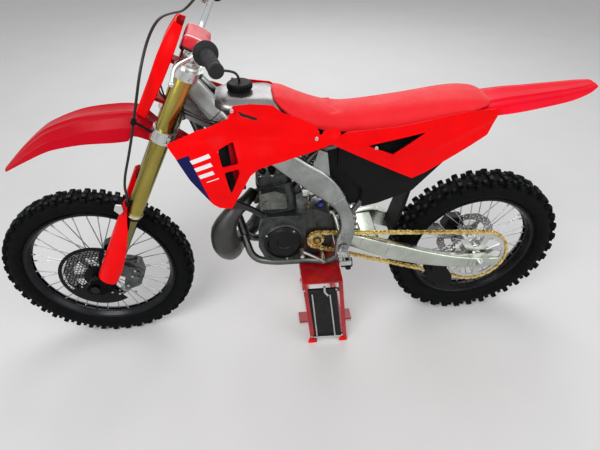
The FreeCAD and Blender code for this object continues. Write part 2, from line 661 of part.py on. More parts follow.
TANK = [  # x, then (half width, height) up the side
    (-226, [(30, 1004), (52, 1006), (58, 1026), (44, 1036), (20, 1038)]),
    (-190, [(42, 985), (74, 1000), (84, 1020), (60, 1040), (24, 1043)]),
    (-110, [(60, 950), (90, 975), (93, 1010), (70, 1038), (26, 1042)]),
    (-50, [(70, 930), (92, 955), (92, 1000), (70, 1030), (26, 1036)]),
    (0, [(76, 915), (90, 935), (86, 965), (66, 985), (26, 992)]),
    (90, [(60, 890), (74, 905), (66, 925), (52, 940), (26, 945)]),
]
tank_solid = shaped("tank_solid", loft([barrel_ring(x, rows) for x, rows in TANK]))
SEAT = [  # x, then (half width, height) up the side
    (-52, [(50, 1034), (64, 1036), (58, 1040), (44, 1043), (16, 1046)]),
    (-20, [(72, 1000), (84, 1004), (76, 1022), (52, 1034), (18, 1038)]),
    (25, [(84, 968), (96, 976), (82, 1000), (54, 1012), (18, 1014)]),
    (110, [(78, 928), (88, 944), (76, 972), (52, 984), (18, 986)]),
    (190, [(78, 922), (86, 936), (74, 966), (52, 976), (18, 978)]),
    (355, [(84, 930), (92, 946), (80, 978), (56, 990), (18, 992)]),
    (520, [(88, 962), (94, 974), (82, 1000), (58, 1010), (18, 1012)]),
    (600, [(78, 982), (84, 990), (72, 1004), (52, 1009), (18, 1011)]),
    (636, [(52, 990), (60, 992), (54, 998), (40, 1001), (16, 1002)]),
]
seat_solid = shaped("seat_solid", loft([barrel_ring(x, rows) for x, rows in SEAT]))
cap_base = Vector(-150, 0, 1042)
tank_cap = turned("tank_cap", [(0, -20), (S.cap_radius - 6, -20), (S.cap_radius - 6, 6), (S.cap_radius, 8),
                               (S.cap_radius, 22), (S.cap_radius - 4, 26), (0, 26)], Placement(cap_base, Rotation()))
keep(tank_cap, "tank_cap")
keep(less("fuel_tank", tank_solid, [frame_spars, subframe, tank_cap]), "fuel_tank")
fuel_tank = NODES[-1]
keep(less("seat", seat_solid, [fuel_tank, subframe]), "seat")
seat = NODES[-1]
vent = tube([(-150, 0, 1068.3), (-150, 0, 1094), (-188, 6, 1103), (-220, 10, 1101)], S.vent_radius)
keep(shaped("vent_hose", vent), "vent_hose")

# Radiators, one each side between the spars and the shrouds
RAD_LOW, RAD_HIGH = 786, 958
radiator_parts = []
for side in (-1, 1):
    core = beam([(-262, side * 126, RAD_LOW, 82, 30, 92), (-238, side * 126, RAD_HIGH, 82, 30, 92)])
    radiator_parts.append(shaped("radiator_core_%d" % (side > 0), core))
    radiator_parts.append(shaped("radiator_mount_%d" % (side > 0),
                                 prism([(-222, 925, 2), (-196, 925, 2), (-196, 945, 2), (-246, 945, 2)],
                                       *sorted((side * 60, side * 96)))))
keep(less("radiators", joined("radiator_solid", radiator_parts), [frame_spars]), "radiators")
radiators = NODES[-1]

# Tank shrouds: a curled slab trimmed to the outline seen from the side
SHROUD = [  # x, then (distance out, height) from the bottom up
    (-372, [(226, 735), (228, 880), (226, 950), (218, 1000), (200, 1062)]),
    (-255, [(208, 735), (216, 880), (202, 960), (172, 1008), (132, 1062)]),
    (-190, [(196, 735), (204, 880), (176, 955), (122, 1005), (96, 1050)]),
    (-115, [(178, 735), (186, 880), (158, 950), (114, 1002), (88, 1050)]),
    (-30, [(152, 735), (160, 880), (138, 945), (108, 985), (90, 1032)]),
    (145, [(134, 735), (138, 880), (130, 925), (112, 958), (96, 992)]),
]
SHROUD_OUTLINE = [
    (-358, 985, 8), (-339, 945, 10), (-308, 868, 0), (-253, 768, 8), (-235, 750, 6), (-198, 738, 10),
    (-133, 852, 12), (-108, 872, 10), (-36, 880, 0), (65, 908, 0), (126, 930, 6), (128, 946, 6), (85, 950, 0),
    (22, 978, 0), (-27, 1008, 8), (-55, 1030, 6), (-120, 1038, 0), (-172, 1036, 8), (-190, 1006, 6), (-273, 1006, 0),
]
VENTS = [
    [(-221, 948, 6), (-176, 960, 6), (-164, 900, 6), (-212, 896, 6)],
    [(-208, 880, 6), (-166, 884, 6), (-164, 868, 6), (-195, 792, 6)],
]
shroud_parts = []
for side in (-1, 1):
    slab = sheet_solid([[(x, side * y, z) for y, z in rows] for x, rows in SHROUD], side * S.panel_thickness)
    trimmed = slab.common(prism(SHROUD_OUTLINE, *sorted((side * 60, side * 260))))
    for vent_outline in VENTS:
        trimmed = trimmed.cut(prism(vent_outline, *sorted((side * 60, side * 260))))
    shroud_parts.append(shaped("shroud_%d" % (side > 0), trimmed))
    shroud_parts.append(rod("shroud_boss_%d" % (side > 0), Vector(-236, side * 160, 930), Vector(-236, side * 203, 930), "10"))
keep(less("shrouds", joined("shroud_solid", shroud_parts), [radiators, fuel_tank, seat]), "shrouds")
shrouds = NODES[-1]

# The silencer's axis, and the room that the right-hand panel and airbox leave for it
SILENCER = Placement(Vector(324, 131.4, 821.7), Rotation(Vector(0.07, 1, 0), 76))
silencer_room = rod("silencer_room", SILENCER.multVec(Vector(0, 0, -30)), SILENCER.multVec(Vector(0, 0, 360)), "51")

# Side panels under the seat, with a three-cornered opening each
SIDE_PANEL = [(x, [(y, 700), (y + 4, 860), (y, 930), (y - 8, 1010)])
              for x, y in ((110, 128), (250, 130), (400, 126), (560, 112), (670, 96))]
PANEL_OUTLINE = [(127, 918, 6), (320, 869, 0), (396, 772, 12), (440, 790, 0), (630, 905, 10), (660, 990, 14),
                 (539, 985, 0), (330, 948, 0), (168, 936, 6)]
PANEL_HOLE = [(262, 896, 10), (400, 924, 10), (324, 868, 10)]
panel_parts = []
for side in (-1, 1):
    slab = sheet_solid([[(x, side * y, z) for y, z in rows] for x, rows in SIDE_PANEL], side * S.panel_thickness)
    trimmed = slab.common(prism(PANEL_OUTLINE, *sorted((side * 60, side * 200))))
    trimmed = trimmed.cut(prism(PANEL_HOLE, *sorted((side * 60, side * 200))))
    if side > 0:
        # The right-hand panel ends above the silencer
        trimmed = trimmed.cut(prism([(240, 680), (620, 680), (620, 895), (240, 801)], 60, 200))
    panel_parts.append(shaped("side_panel_%d" % (side > 0), trimmed))
    panel_parts.append(rod("panel_boss_%d" % (side > 0), Vector(470, side * 76, 935), Vector(470, side * 119, 935), "8"))
keep(less("side_panels", joined("panel_solid", panel_parts), [subframe, seat, silencer_room]), "side_panels")
side_panels = NODES[-1]

# Airbox behind the spars, hollow at the front for the shock absorber, and the mud flap before the rear wheel
airbox_body = prism([(236, 640, 12), (300, 655, 12), (414, 700, 20), (530, 842, 14), (560, 930, 0), (150, 900, 0),
                     (150, 812, 8), (236, 720, 10)], -100, 100)
airbox_hood = prism([(150, 812, 0), (240, 720, 0), (240, 640, 0), (290, 640, 0), (290, 860, 0), (150, 860, 0)], -52, 52)
mud_flap = prism([(378, 455, 6), (386, 455, 0), (420, 580, 0), (440, 722, 0), (428, 722, 0), (408, 590, 0)], -48, 48)
airbox_shell = shaped("airbox_shell", airbox_body.cut(airbox_hood))
keep(less("airbox", airbox_shell, [subframe, frame_spars, seat, side_panels, fuel_tank, silencer_room]), "airbox")
airbox = NODES[-1]
keep(less("mud_flap", shaped("mud_flap_sheet", mud_flap), [airbox]), "mud_flap")

# Rear fender over the wheel. x, z, slope, half width, drop
REAR_FENDER = [
    (500, 958, 14, 62, 14), (600, 984, 12, 86, 24), (700, 1000, 6, 88, 32), (800, 1008, 4, 78, 30),
    (900, 1016, 6, 66, 24), (965, 1022, 8, 50, 14), (1002, 1026, 12, 30, 6),
]
keep(less("rear_fender", shaped("rear_fender_sheet", arch(REAR_FENDER, S.panel_thickness)),
          [seat, subframe, side_panels, airbox]), "rear_fender")
rear_fender = NODES[-1]

# Engine
case = prism([(-108, 440, 14), (-92, 400, 14), (118, 400, 16), (152, 432, 16), (156, 520, 20), (138, 585, 16),
              (88, 610, 12), (20, 604, 6), (-86, 604, 10), (-112, 560, 16)], -S.case_half_width, S.case_half_width)
foot_blocks = []
for index, (x, y) in enumerate([(-50, 70), (-50, -70), (84, 70), (84, -70)]):
    foot_blocks.append(block("case_foot_%d" % index, (x - 16, y - 12, 388), (x + 16, y + 12, 402)))
chain_side = S.chain_line - S.chain_width / 2 - 8
case_open = less("case_open", joined("case_solid", [shaped("case_body", case)] + foot_blocks),
                 [block("chain_room", (50, -130, 380), (200, -chain_side, 640))])
countershaft = rod("countershaft", COUNTERSHAFT - ACROSS * (chain_side - 4), COUNTERSHAFT - ACROSS * (S.chain_line + 8), "10.7")
countershaft_nut = rod("countershaft_nut", COUNTERSHAFT - ACROSS * (S.chain_line + 3.3),
                       COUNTERSHAFT - ACROSS * (S.chain_line + 10), "15")
keep(less("crankcase", joined("case_with_shaft", [case_open, countershaft, countershaft_nut]), [frame_cradle, frame_spars,
                                    rod("case_pivot_room", PIVOT - ACROSS * 130, PIVOT + ACROSS * 130,
                                        "$pivot_radius + 22")]), "crankcase")
crankcase = NODES[-1]

# Exhaust: an expansion chamber that swells in front of the down tube, then runs up the right-hand side
PIPE = [  # x, y, z, radius
    (-132, 0, 660, 21), (-166, -42, 646, 23), (-214, -66, 612, 31), (-244, -72, 552, 45), (-246, -62, 484, 50),
    (-236, -26, 424, 47), (-220, 34, 386, 38), (-188, 100, 374, 32), (-142, 130, 404, 29), (-104, 140, 474, 26),
    (-52, 144, 560, 22), (20, 150, 646, 18), (100, 150, 716, 17), (210, 142, 784, 17), (322, 131.6, 821, 16.2),
]


def skin(stations, sides=14):
    """A bent sheet-metal pipe: straight-sided segments between rings; each station is (x, y, z, radius)."""
    middles = [Vector(*row[:3]) for row in stations]
    rings = []
    for index, (middle, row) in enumerate(zip(middles, stations)):
        along = (middles[min(index + 1, len(middles) - 1)] - middles[max(index - 1, 0)]).normalize()
        side = along.cross(ACROSS).normalize() if abs(along.y) < 0.9 else along.cross(UP).normalize()
        other = along.cross(side)
        rings.append([tuple(middle + side * (row[3] * math.cos(2 * math.pi * k / sides))
                            + other * (row[3] * math.sin(2 * math.pi * k / sides))) for k in range(sides)])
    return loft(rings)


keep(shaped("expansion_chamber", skin(PIPE)), "expansion_chamber")
expansion_chamber = NODES[-1]
CYLINDER = Placement(Vector(-42, 0, 604), Rotation(ACROSS, -S.cylinder_lean))
jacket = new_body("cylinder_jacket", CYLINDER)
jacket_sketch = sketch(jacket, "jacket_outline", "XY_Plane",
                       rounded([(-62, -56, 20), (62, -56, 20), (62, 56, 20), (-62, 56, 20)]))
pad(jacket, jacket_sketch, "$cylinder_height", "jacket_pad", midplane=False)
head = new_body("cylinder_head", CYLINDER.multiply(Placement(Vector(0, 0, S.cylinder_height + S.seat_gap * 0), Rotation())))
head_sketch = sketch(head, "head_outline", "XY_Plane",
                     rounded([(-58, -52, 24), (58, -52, 24), (58, 52, 24), (-58, 52, 24)]))
pad(head, head_sketch, "$head_height", "head_pad", midplane=False)
plug = turned("spark_plug", [(0, S.cylinder_height + S.head_height), (13, S.cylinder_height + S.head_height),
                             (13, S.cylinder_height + S.head_height + 8), (8, S.cylinder_height + S.head_height + 10),
                             (8, S.cylinder_height + S.head_height + 46), (0, S.cylinder_height + S.head_height + 46)],
              CYLINDER)
stub = rod("exhaust_stub", CYLINDER.multVec(Vector(-56, 0, 52)), CYLINDER.multVec(Vector(-86, 0, 46)), "27")
intake = rod("intake_stub", CYLINDER.multVec(Vector(56, 0, 52)), CYLINDER.multVec(Vector(84, 0, 60)), "24")
keep(less("cylinder", joined("cylinder_solid", [jacket, head, plug, stub, intake]), [crankcase, frame_spars, expansion_chamber]), "cylinder")
cylinder_node = NODES[-1]

case_face = S.case_half_width + S.seat_gap


def cover(name, centre, side, radius, depth):
    """A round engine cover with a bevelled rim, seated on the side of the crankcase."""
    turn = Rotation(Vector(1, 0, 0), -90 * side)
    return turned(name, [(0, 0), (radius, 0), (radius, depth * 0.55), (radius - 8, depth), (radius * 0.45, depth),
                         (radius * 0.40, depth - 3), (0, depth - 3)],
                  Placement(centre + ACROSS * (side * case_face), turn))


COVERS = [  # name, centre, side, radius, depth
    ("flywheel_cover", CRANK, -1, S.flywheel_cover_radius, S.engine_cover_depth),
    ("clutch_cover", Vector(34, 0, 496), 1, S.clutch_cover_radius, S.engine_cover_depth),
    ("pump_cover", Vector(-62, 0, 448), 1, 34, S.engine_cover_depth),
]
covers = [cover(*row) for row in COVERS]
keep(joined("engine_covers", covers), "engine_covers")
engine_covers = NODES[-1]

carb_axis = 652
carb_parts = [
    rod("carburettor_body", Vector(44, 0, carb_axis), Vector(150, 0, carb_axis + 14), "$front_flange_radius - 4"),
    rod("carburettor_slide", Vector(86, 0, carb_axis - 10), Vector(80, 0, carb_axis + 78), "20"),
    block("float_bowl", (62, -24, carb_axis - 44), (112, 24, carb_axis)),
    rod("intake_boot", Vector(148, 0, carb_axis + 14), Vector(214, 0, carb_axis + 60), "30"),
]
keep(less("carburettor", joined("carburettor_solid", carb_parts),
          [cylinder_node, crankcase, frame_spars, airbox]), "carburettor")
carburettor = NODES[-1]

# Silencer on the right-hand side
silencer_body = turned("silencer_body", [(17, -8), (20, -8), (20, 18), (40, 52), (43, 52), (43, 300), (40, 304),
                                         (24, 322), (14, 322), (14, 270), (17, 30)], SILENCER)
silencer_mount = rod("silencer_mount", Vector(598, 62, 956), Vector(598, 108, 908), "8")
keep(less("silencer", joined("silencer_solid", [silencer_body, silencer_mount]), [subframe]), "silencer")
silencer = NODES[-1]

# Chain: one fixed loop round both chain wheels
front_pitch = S.chain_pitch / (2 * math.sin(math.pi / S.front_teeth))
rear_pitch = S.chain_pitch / (2 * math.sin(math.pi / S.rear_teeth))


def chain_loop(shift):
    """The chain's line, shifted outward: tangent runs above and below, an arc round each chain wheel."""
    small, large = front_pitch + shift, rear_pitch + shift
    start, end = Vector(COUNTERSHAFT.x, COUNTERSHAFT.z, 0), Vector(REAR_AXLE.x, REAR_AXLE.z, 0)
    line = math.atan2(end.y - start.y, end.x - start.x)
    lean_in = math.asin((large - small) / (end - start).Length)
    up = line + math.pi / 2 + lean_in
    down = line - math.pi / 2 - lean_in

    def at(centre, radius, angle):
        return centre + Vector(math.cos(angle), math.sin(angle), 0) * radius

    return [
        Part.LineSegment(at(start, small, up), at(end, large, up)),
        Part.Arc(at(end, large, up), at(end, large, line), at(end, large, down)),
        Part.LineSegment(at(end, large, down), at(start, small, down)),
        Part.Arc(at(start, small, down), at(start, small, line + math.pi), at(start, small, up)),
    ]


chain_body = new_body("chain", Placement(Vector(0, -S.chain_line, 0), Rotation()))
plate_half = S.chain_plate_height / 2
chain_sketch = sketch(chain_body, "chain_outline", "XZ_Plane", chain_loop(plate_half) + chain_loop(-S.roller_radius))
pad(chain_body, chain_sketch, "$chain_width", "chain_band")
keep(chain_body, "chain")
chain = NODES[-1]

guide_block = prism([(534, 300, 8), (650, 282, 8), (668, 192, 8), (556, 232, 8)], -90, -58)
guide_slot = prism([(500, 282, 0), (700, 232, 0), (700, 196, 0), (500, 246, 0)], -84, -64)
guide_arm = prism([(560, 346, 0), (620, 332, 0), (620, 284, 0), (560, 292, 0)], -100, -88)
sprocket_room = rod("sprocket_room", REAR_AXLE - ACROSS * 100, REAR_AXLE - ACROSS * 50, "1")
sprocket_room.setExpression("Radius", "Sizes.chain_pitch / (2 * sin(180deg / Sizes.rear_teeth)) - Sizes.roller_radius"
                            " + Sizes.guide_gap")
slider = prism([(180, 438, 4), (250, 432, 4), (250, 425, 0), (180, 431, 0)], -82, -50)
keep(less("chain_guides", joined("guide_solid", [shaped("chain_guide", guide_block.cut(guide_slot)),
                                                 shaped("guide_arm", guide_arm)]), [
                                                     swingarm, chain, sprocket_room]), "chain_guides")

# Rear shock absorber between the linkage and the frame
shock_low, shock_high = Vector(226, 0, 478), Vector(196, 0, 652)
shock_line = shock_high - shock_low
shock = turned("shock_body", [(0, -10), (20, -10), (20, 14), (38, 14), (38, 20), (30, 22), (36, 34), (30, 46), (36, 58),
                              (30, 70), (36, 82), (30, 94), (36, 106), (30, 118), (38, 120), (38, 126), (24, 128),
                              (24, 156), (0, 156)], Placement(shock_low, Rotation(UP, shock_line)))
keep(less("rear_shock", shock, [swingarm, frame_spars, airbox, crankcase, carburettor]),
     "rear_shock")

# Footrests, gear and brake pedals
peg_parts = []
for side in (-1, 1):
    inner, outer = side * 118, side * (118 + 14 + S.peg_length)
    low, high = sorted((side * 134, outer))
    rim = block("peg_rim_%d" % (side > 0), (S.peg_back - 22, low, S.peg_height - 4), (S.peg_back + 22, high, S.peg_height + 14))
    well = block("peg_well_%d" % (side > 0), (S.peg_back - 16, low + 6, S.peg_height - 10),
                 (S.peg_back + 16, high - 6, S.peg_height + 30))
    bar = block("peg_bar_%d" % (side > 0), (S.peg_back - 20, low + 2, S.peg_height), (S.peg_back + 20, high - 2, S.peg_height + 8))
    bars = less("peg_frame_%d" % (side > 0), rim, [well])
    tine = rod("peg_tine_%d" % (side > 0), Vector(S.peg_back, low, S.peg_height + 4), Vector(S.peg_back, high, S.peg_height + 4), "3.5")
    low2, high2 = sorted((side * 116, side * 136))
    mount = block("peg_mount_%d" % (side > 0), (S.peg_back - 14, low2, S.peg_height - 16), (S.peg_back + 14, high2, S.peg_height + 12))
    peg_parts += [bars, tine, mount]
keep(less("footpegs", joined("footpegs_solid", peg_parts), [frame_spars, swingarm, frame_cradle]), "footpegs")
footpegs = NODES[-1]

shift_shaft = rod("shift_shaft", Vector(112, -chain_side + 0.4, 415), Vector(112, -132, 415), "7")
shift_arm = shaped("shift_arm", tube([(112, -126, 415), (70, -134, 452), (28, -140, 484)], 5))
shift_tip = rod("shift_tip", Vector(28, -132, 486), Vector(28, -172, 486), "7")
brake_shaft = rod("brake_shaft", Vector(168, 119, 430), Vector(168, 142, 430), "8")
brake_arm = shaped("brake_arm", tube([(168, 136, 430), (100, 146, 420), (20, 150, 438), (-6, 150, 446)], 6))
brake_tip = block("brake_tip", (-30, 134, 440), (4, 172, 450))
kick_shaft = rod("kick_shaft", Vector(118, 82.4, 556), Vector(118, 128, 556), "9")
kick_arm = shaped("kick_arm", tube([(118, 122, 556), (150, 130, 640), (168, 142, 726)], 7))
kick_pedal = rod("kick_pedal", Vector(168, 138, 726), Vector(196, 138, 700), "9")
keep(less("foot_levers", joined("foot_levers_solid", [shift_shaft, shift_arm, shift_tip, brake_shaft, brake_arm, brake_tip,
                                                     kick_shaft, kick_arm, kick_pedal]),
          [crankcase, footpegs, frame_spars, frame_cradle, engine_covers]), "foot_levers")
foot_levers = NODES[-1]

# Rear brake caliper on its bracket, astride the disc
slot_half = S.disc_thickness / 2 + 5
caliper_outline = [(628, 404, 8), (652, 452, 10), (706, 452, 10), (716, 424, 8), (690, 404, 6), (668, 372, 8)]
rear_block = shaped("rear_caliper_block", prism(caliper_outline, 37, 76))
rear_slot = rod("rear_caliper_slot", Vector(REAR_AXLE.x, S.disc_offset - slot_half, REAR_AXLE.z),
                Vector(REAR_AXLE.x, S.disc_offset + slot_half, REAR_AXLE.z), "$rear_disc_radius + 5")
rear_arm = shaped("rear_caliper_arm", prism([(664, 380, 6), (712, 420, 6), (766, 352, 12), (754, 314, 12), (724, 318, 10)], 64, 76))
rear_caliper_cut = less("rear_caliper_open", joined("rear_caliper_solid", [rear_block, rear_arm]), [
    rear_slot, rod("rear_caliper_bore", REAR_AXLE + ACROSS * 40, REAR_AXLE + ACROSS * 90, "$rear_axle_radius + 5 + $seat_gap")])
keep(rear_caliper_cut, "rear_caliper")

# Lift stand: a top plate with turned-down edges, four sloping legs, side feet and a dark panel between near legs
stand_top = S.rail_height - S.rail_radius - S.seat_gap
front_edge, back_edge = S.stand_back, S.stand_back + S.stand_top_length
stand_parts = [
    block("stand_plate", (front_edge, -S.stand_half_width, stand_top - S.stand_plate),
          (back_edge, S.stand_half_width, stand_top)),
]
for index, x in enumerate((front_edge, back_edge - S.stand_plate)):
    stand_parts.append(block("stand_edge_%d" % index, (x, -S.stand_half_width, stand_top - 34),
                             (x + S.stand_plate, S.stand_half_width, stand_top - 1)))
for side in (-1, 1):
    for end, x in enumerate((front_edge, back_edge - S.stand_leg_width)):
        low, high = sorted((side * (S.stand_half_width - 8), side * (S.stand_half_width - 8 - S.stand_leg_thickness)))
        leg = prism([(x, stand_top - 2, 0), (x + S.stand_leg_width, stand_top - 2, 0),
                     (x + S.stand_leg_width + S.stand_shift, 0, 0), (x + S.stand_shift, 0, 0)], low, high)
        stand_parts.append(shaped("stand_leg_%d_%d" % (side > 0, end), leg))
for end, x in enumerate((front_edge + S.stand_shift, back_edge + S.stand_shift - 24)):
    out = -S.stand_foot_reach if end == 0 else S.stand_foot_reach
    stand_parts.append(block("stand_runner_%d" % end, (x, -S.stand_half_width + 8, 0), (x + 24, S.stand_half_width - 8, 10)))
    low, high = sorted((x + 12, x + 12 + out))
    stand_parts.append(block("stand_foot_%d" % end, (low, -74, 0), (high, -20, 8)))
keep(less("stand_frame", joined("stand_solid", stand_parts), [frame_cradle]), "stand_frame")
stand_frame = NODES[-1]
panel_out = S.stand_half_width - 8 - S.stand_leg_thickness
panel = prism([(front_edge + S.stand_leg_width + 4, stand_top - 52, 0), (back_edge - S.stand_leg_width - 4, stand_top - 52, 0),
               (back_edge - S.stand_leg_width + S.stand_shift - 8, 24, 0),
               (front_edge + S.stand_leg_width + S.stand_shift + 0, 24, 0)], -panel_out, -panel_out + 8)
panel_bars = []
for index, z in enumerate((stand_top - 60, 30)):
    back = S.stand_shift * (1 - z / stand_top)
    panel_bars.append(rod("panel_bar_%d" % index, Vector(front_edge + 12 + back, -panel_out + 4, z),
                          Vector(back_edge - 12 + back, -panel_out + 4, z), "7"))
keep(less("stand_panel", joined("stand_panel_solid", [shaped("stand_panel_sheet", panel)] + panel_bars), [stand_frame]),
     "stand_panel")

# Everything from here on turns with the steering and is drawn in the steering frame
LEG = -S.leg_offset
clamp_radius = S.outer_tube_radius + S.clamp_wall


def clamp_plate(name, low, formula, reach):
    """A fork clamp: a bridge between two bosses, bored for the fork tubes."""
    body = new_body(name, STEER.multiply(Placement(Vector(0, 0, low), Rotation())))
    outline = [(LEG - 26, -S.leg_spread, 6), (LEG - 16, -46, 8), (LEG - 22, 0, 12), (LEG - 16, 46, 8), (LEG - 26, S.leg_spread, 6),
               (LEG + 30, S.leg_spread, 6), (16, 56, 8), (reach, 16, 8), (reach, -16, 8), (16, -56, 8), (LEG + 30, -S.leg_spread, 6)]
    drawn = sketch(body, name + "_bridge", "XY_Plane", rounded(outline))
    pad(body, drawn, formula, name + "_bridge_pad", midplane=False)
    bosses = sketch(body, name + "_bosses", "XY_Plane",
                    [circle(LEG, -S.leg_spread, clamp_radius), circle(LEG, S.leg_spread, clamp_radius)])
    pad(body, bosses, formula, name + "_boss_pad", midplane=False)
    bores = sketch(body, name + "_bores", "XY_Plane", [circle(LEG, y, S.outer_tube_radius + S.seat_gap)
                                                       for y in (-S.leg_spread, S.leg_spread)])
    cut = body.newObject("PartDesign::Pocket", name + "_bore_cut")
    cut.Profile = bores
    cut.Type = 1
    cut.Midplane = True
    return body


low_end = S.lower_clamp_height
top_end = S.upper_clamp_height + S.upper_clamp_thickness
lower_plate = clamp_plate("lower_clamp_plate", S.lower_clamp_height, "$lower_clamp_thickness", 20)
stem = rod("steering_stem", Vector(0, 0, low_end + 4), Vector(0, 0, top_end + 8), "$stem_radius", STEER)
keep(joined("lower_clamp", [lower_plate, stem]), "lower_clamp")
upper_plate = clamp_plate("upper_clamp_plate", S.upper_clamp_height, "$upper_clamp_thickness", 20)
stem_hole = rod("stem_hole", Vector(0, 0, low_end), Vector(0, 0, top_end + 60), "$stem_radius + $seat_gap", STEER)
stem_nut = rod("stem_nut", Vector(0, 0, top_end), Vector(0, 0, top_end + 12), "$stem_radius + 5", STEER)
bar_blocks = []
for side in (-1, 1):
    bar_blocks.append(shaped("bar_block_%d" % (side > 0),
                             prism([(-38, top_end - 2, 0), (4, top_end - 2, 0), (2, S.bar_rise + 18, 6), (-36, S.bar_rise + 18, 6)],
                                   side * 50 - 14, side * 50 + 14), STEER))
upper_solid = joined("upper_clamp_solid", [upper_plate, stem_nut] + bar_blocks)
BAR_END, BAR_BEND = (20, 402, 1060), (-12.4, 251.8, 1040.9)
bar_slope = [(BAR_BEND[i] - BAR_END[i]) / (BAR_END[1] - BAR_BEND[1]) for i in range(3)]
bar_tip = [BAR_END[i] - bar_slope[i] * (S.bar_half_width - BAR_END[1]) for i in range(3)]
BAR = [tuple(bar_tip), BAR_BEND, (-17, 104, S.bar_rise)]
BAR += [(x, -y, z) for x, y, z in reversed(BAR)]
bar_tube = tube(BAR, S.bar_radius, 0.19)
bar_node = shaped("bar_tube", bar_tube, STEER)
keep(less("upper_clamp", upper_solid, [stem_hole, bar_node]), "upper_clamp")
keep(bar_node, "handlebar")

# Fork legs
tube_parts, slider_parts = [], []
inner_bore = S.inner_tube_radius + S.seat_gap
for side in (-1, 1):
    place = STEER.multiply(Placement(Vector(LEG, side * S.leg_spread, 0), Rotation()))
    tube_parts.append(turned("outer_tube_%d" % (side > 0), [
        (inner_bore, S.outer_tube_start), (S.outer_tube_foot_radius + 2, S.outer_tube_start),
        (S.outer_tube_foot_radius + 2, S.outer_tube_start + 14), (S.outer_tube_foot_radius, S.outer_tube_start + 18),
        (S.outer_tube_foot_radius, S.outer_tube_start + 150), (S.outer_tube_radius, low_end - 40), (S.outer_tube_radius, S.outer_tube_end),
        (S.outer_tube_radius - 6, S.outer_tube_end + 6), (0, S.outer_tube_end + 6), (0, S.outer_tube_start + 250),
        (inner_bore, S.outer_tube_start + 250)], place))
    slider_rod = turned("inner_tube_%d" % (side > 0), [
        (0, 20), (S.inner_tube_radius, 20), (S.inner_tube_radius, S.outer_tube_start + 240), (0, S.outer_tube_start + 240)], place)
    lug = shaped("axle_lug_%d" % (side > 0), prism(
        [(-86, -22, 16), (-66, -34, 12), (-30, -26, 10), (6, 20, 12), (6, 96, 6), (-50, 96, 6), (-56, 56, 10), (-84, 22, 16)],
        side * S.leg_spread - S.lug_thickness / 2, side * S.leg_spread + S.lug_thickness / 2), STEER)
    slider_parts.append(joined("slider_leg_%d" % (side > 0), [slider_rod, lug]))
axle_room = rod("axle_room", Vector(-S.axle_offset, -140, 0), Vector(-S.axle_offset, 140, 0),
                "$front_axle_radius + $seat_gap", STEER)
keep(joined("fork_tubes", tube_parts), "fork_tubes")
fork_tubes = NODES[-1]
keep(less("fork_sliders", joined("fork_sliders_solid", slider_parts), [axle_room]), "fork_sliders")
fork_sliders = NODES[-1]

guard_parts = []
for side in (-1, 1):
    leg = Vector(LEG, side * S.leg_spread, 0)
    shell = cylinder(leg + UP * 40, leg + UP * 430, 42.5).cut(cylinder(leg + UP * 30, leg + UP * 440, 38.5))
    low, high = sorted((side * (S.leg_spread - 17), side * (S.leg_spread + 60)))
    shell = shell.common(prism([(-90, 64), (2, 64), (-6, 280), (-34, 316), (-36, 420), (-90, 420)], low, high))
    guard_parts.append(shaped("fork_guard_%d" % (side > 0), shell, STEER))
    guard_parts.append(shaped("guard_foot_%d" % (side > 0),
                              cylinder(leg + Vector(-20, side * 12, 84), leg + Vector(-38, side * 14, 84), 7), STEER))
keep(less("fork_guards", joined("fork_guards_solid", guard_parts), [fork_sliders, fork_tubes]), "fork_guards")
fork_guards = NODES[-1]

# Front fender under the lower clamp. x, z, slope, half width, drop, in the steering frame
FRONT_FENDER = [
    (-436, 326, 70, 20, 8), (-401, 418, 66, 52, 28), (-361, 503, 60, 74, 44), (-328, 551, 50, 84, 52),
    (-265, 613, 41, 92, 62), (-188, 665, 32, 92, 70), (-134, 693, 20, 86, 70), (-98, 700, -6, 78, 60),
    (-68, 688, -20, 70, 46), (-34, 677, -8, 64, 34), (50, 665, -12, 58, 24), (107, 643, -24, 52, 16),
]
fender = shaped("front_fender_sheet", arch(FRONT_FENDER, S.panel_thickness), STEER)
fender_mount = shaped("fender_mount", prism([(-40, 665, 0), (24, 665, 0), (24, low_end - 0.3, 0), (-40, low_end - 0.3, 0)], -30, 30), STEER)
keep(less("front_fender", joined("front_fender_solid", [fender, fender_mount]), [lower_plate, fork_tubes]), "front_fender")
front_fender = NODES[-1]

# Number plate in front of the bars. height, middle, edge, half width, in the steering frame
PLATE = [(716, -112, -84, 76), (760, -112, -80, 92), (840, -110, -73, 104), (920, -109, -69, 104), (975, -100, -68, 80),
         (1004, -92, -68, 50)]
rings = []
for z, middle, edge, half in PLATE:
    outer = [Vector(edge, -half, z), Vector((middle + edge) / 2 - 12, -half * 0.72, z), Vector(middle, 0, z),
             Vector((middle + edge) / 2 - 12, half * 0.72, z), Vector(edge, half, z)]
    inner = [p + Vector(S.panel_thickness, 0, 0) for p in outer]
    rings.append([tuple(p) for p in outer] + [tuple(p) for p in reversed(inner)])
plate = shaped("plate_sheet", loft(rings), STEER)
plate_stays = []
for index, (z, start) in enumerate([(760, -108), (890, -105)]):
    plate_stays.append(shaped("plate_stay_%d" % index, prism([(start, z - 6), (start, z + 6), (LEG - 14, z + 6), (LEG - 14, z - 6)],
                                                             -20, 20), STEER))
keep(less("front_plate", joined("front_plate_solid", [plate] + plate_stays), [upper_plate, lower_plate, stem]), "front_plate")
front_plate = NODES[-1]

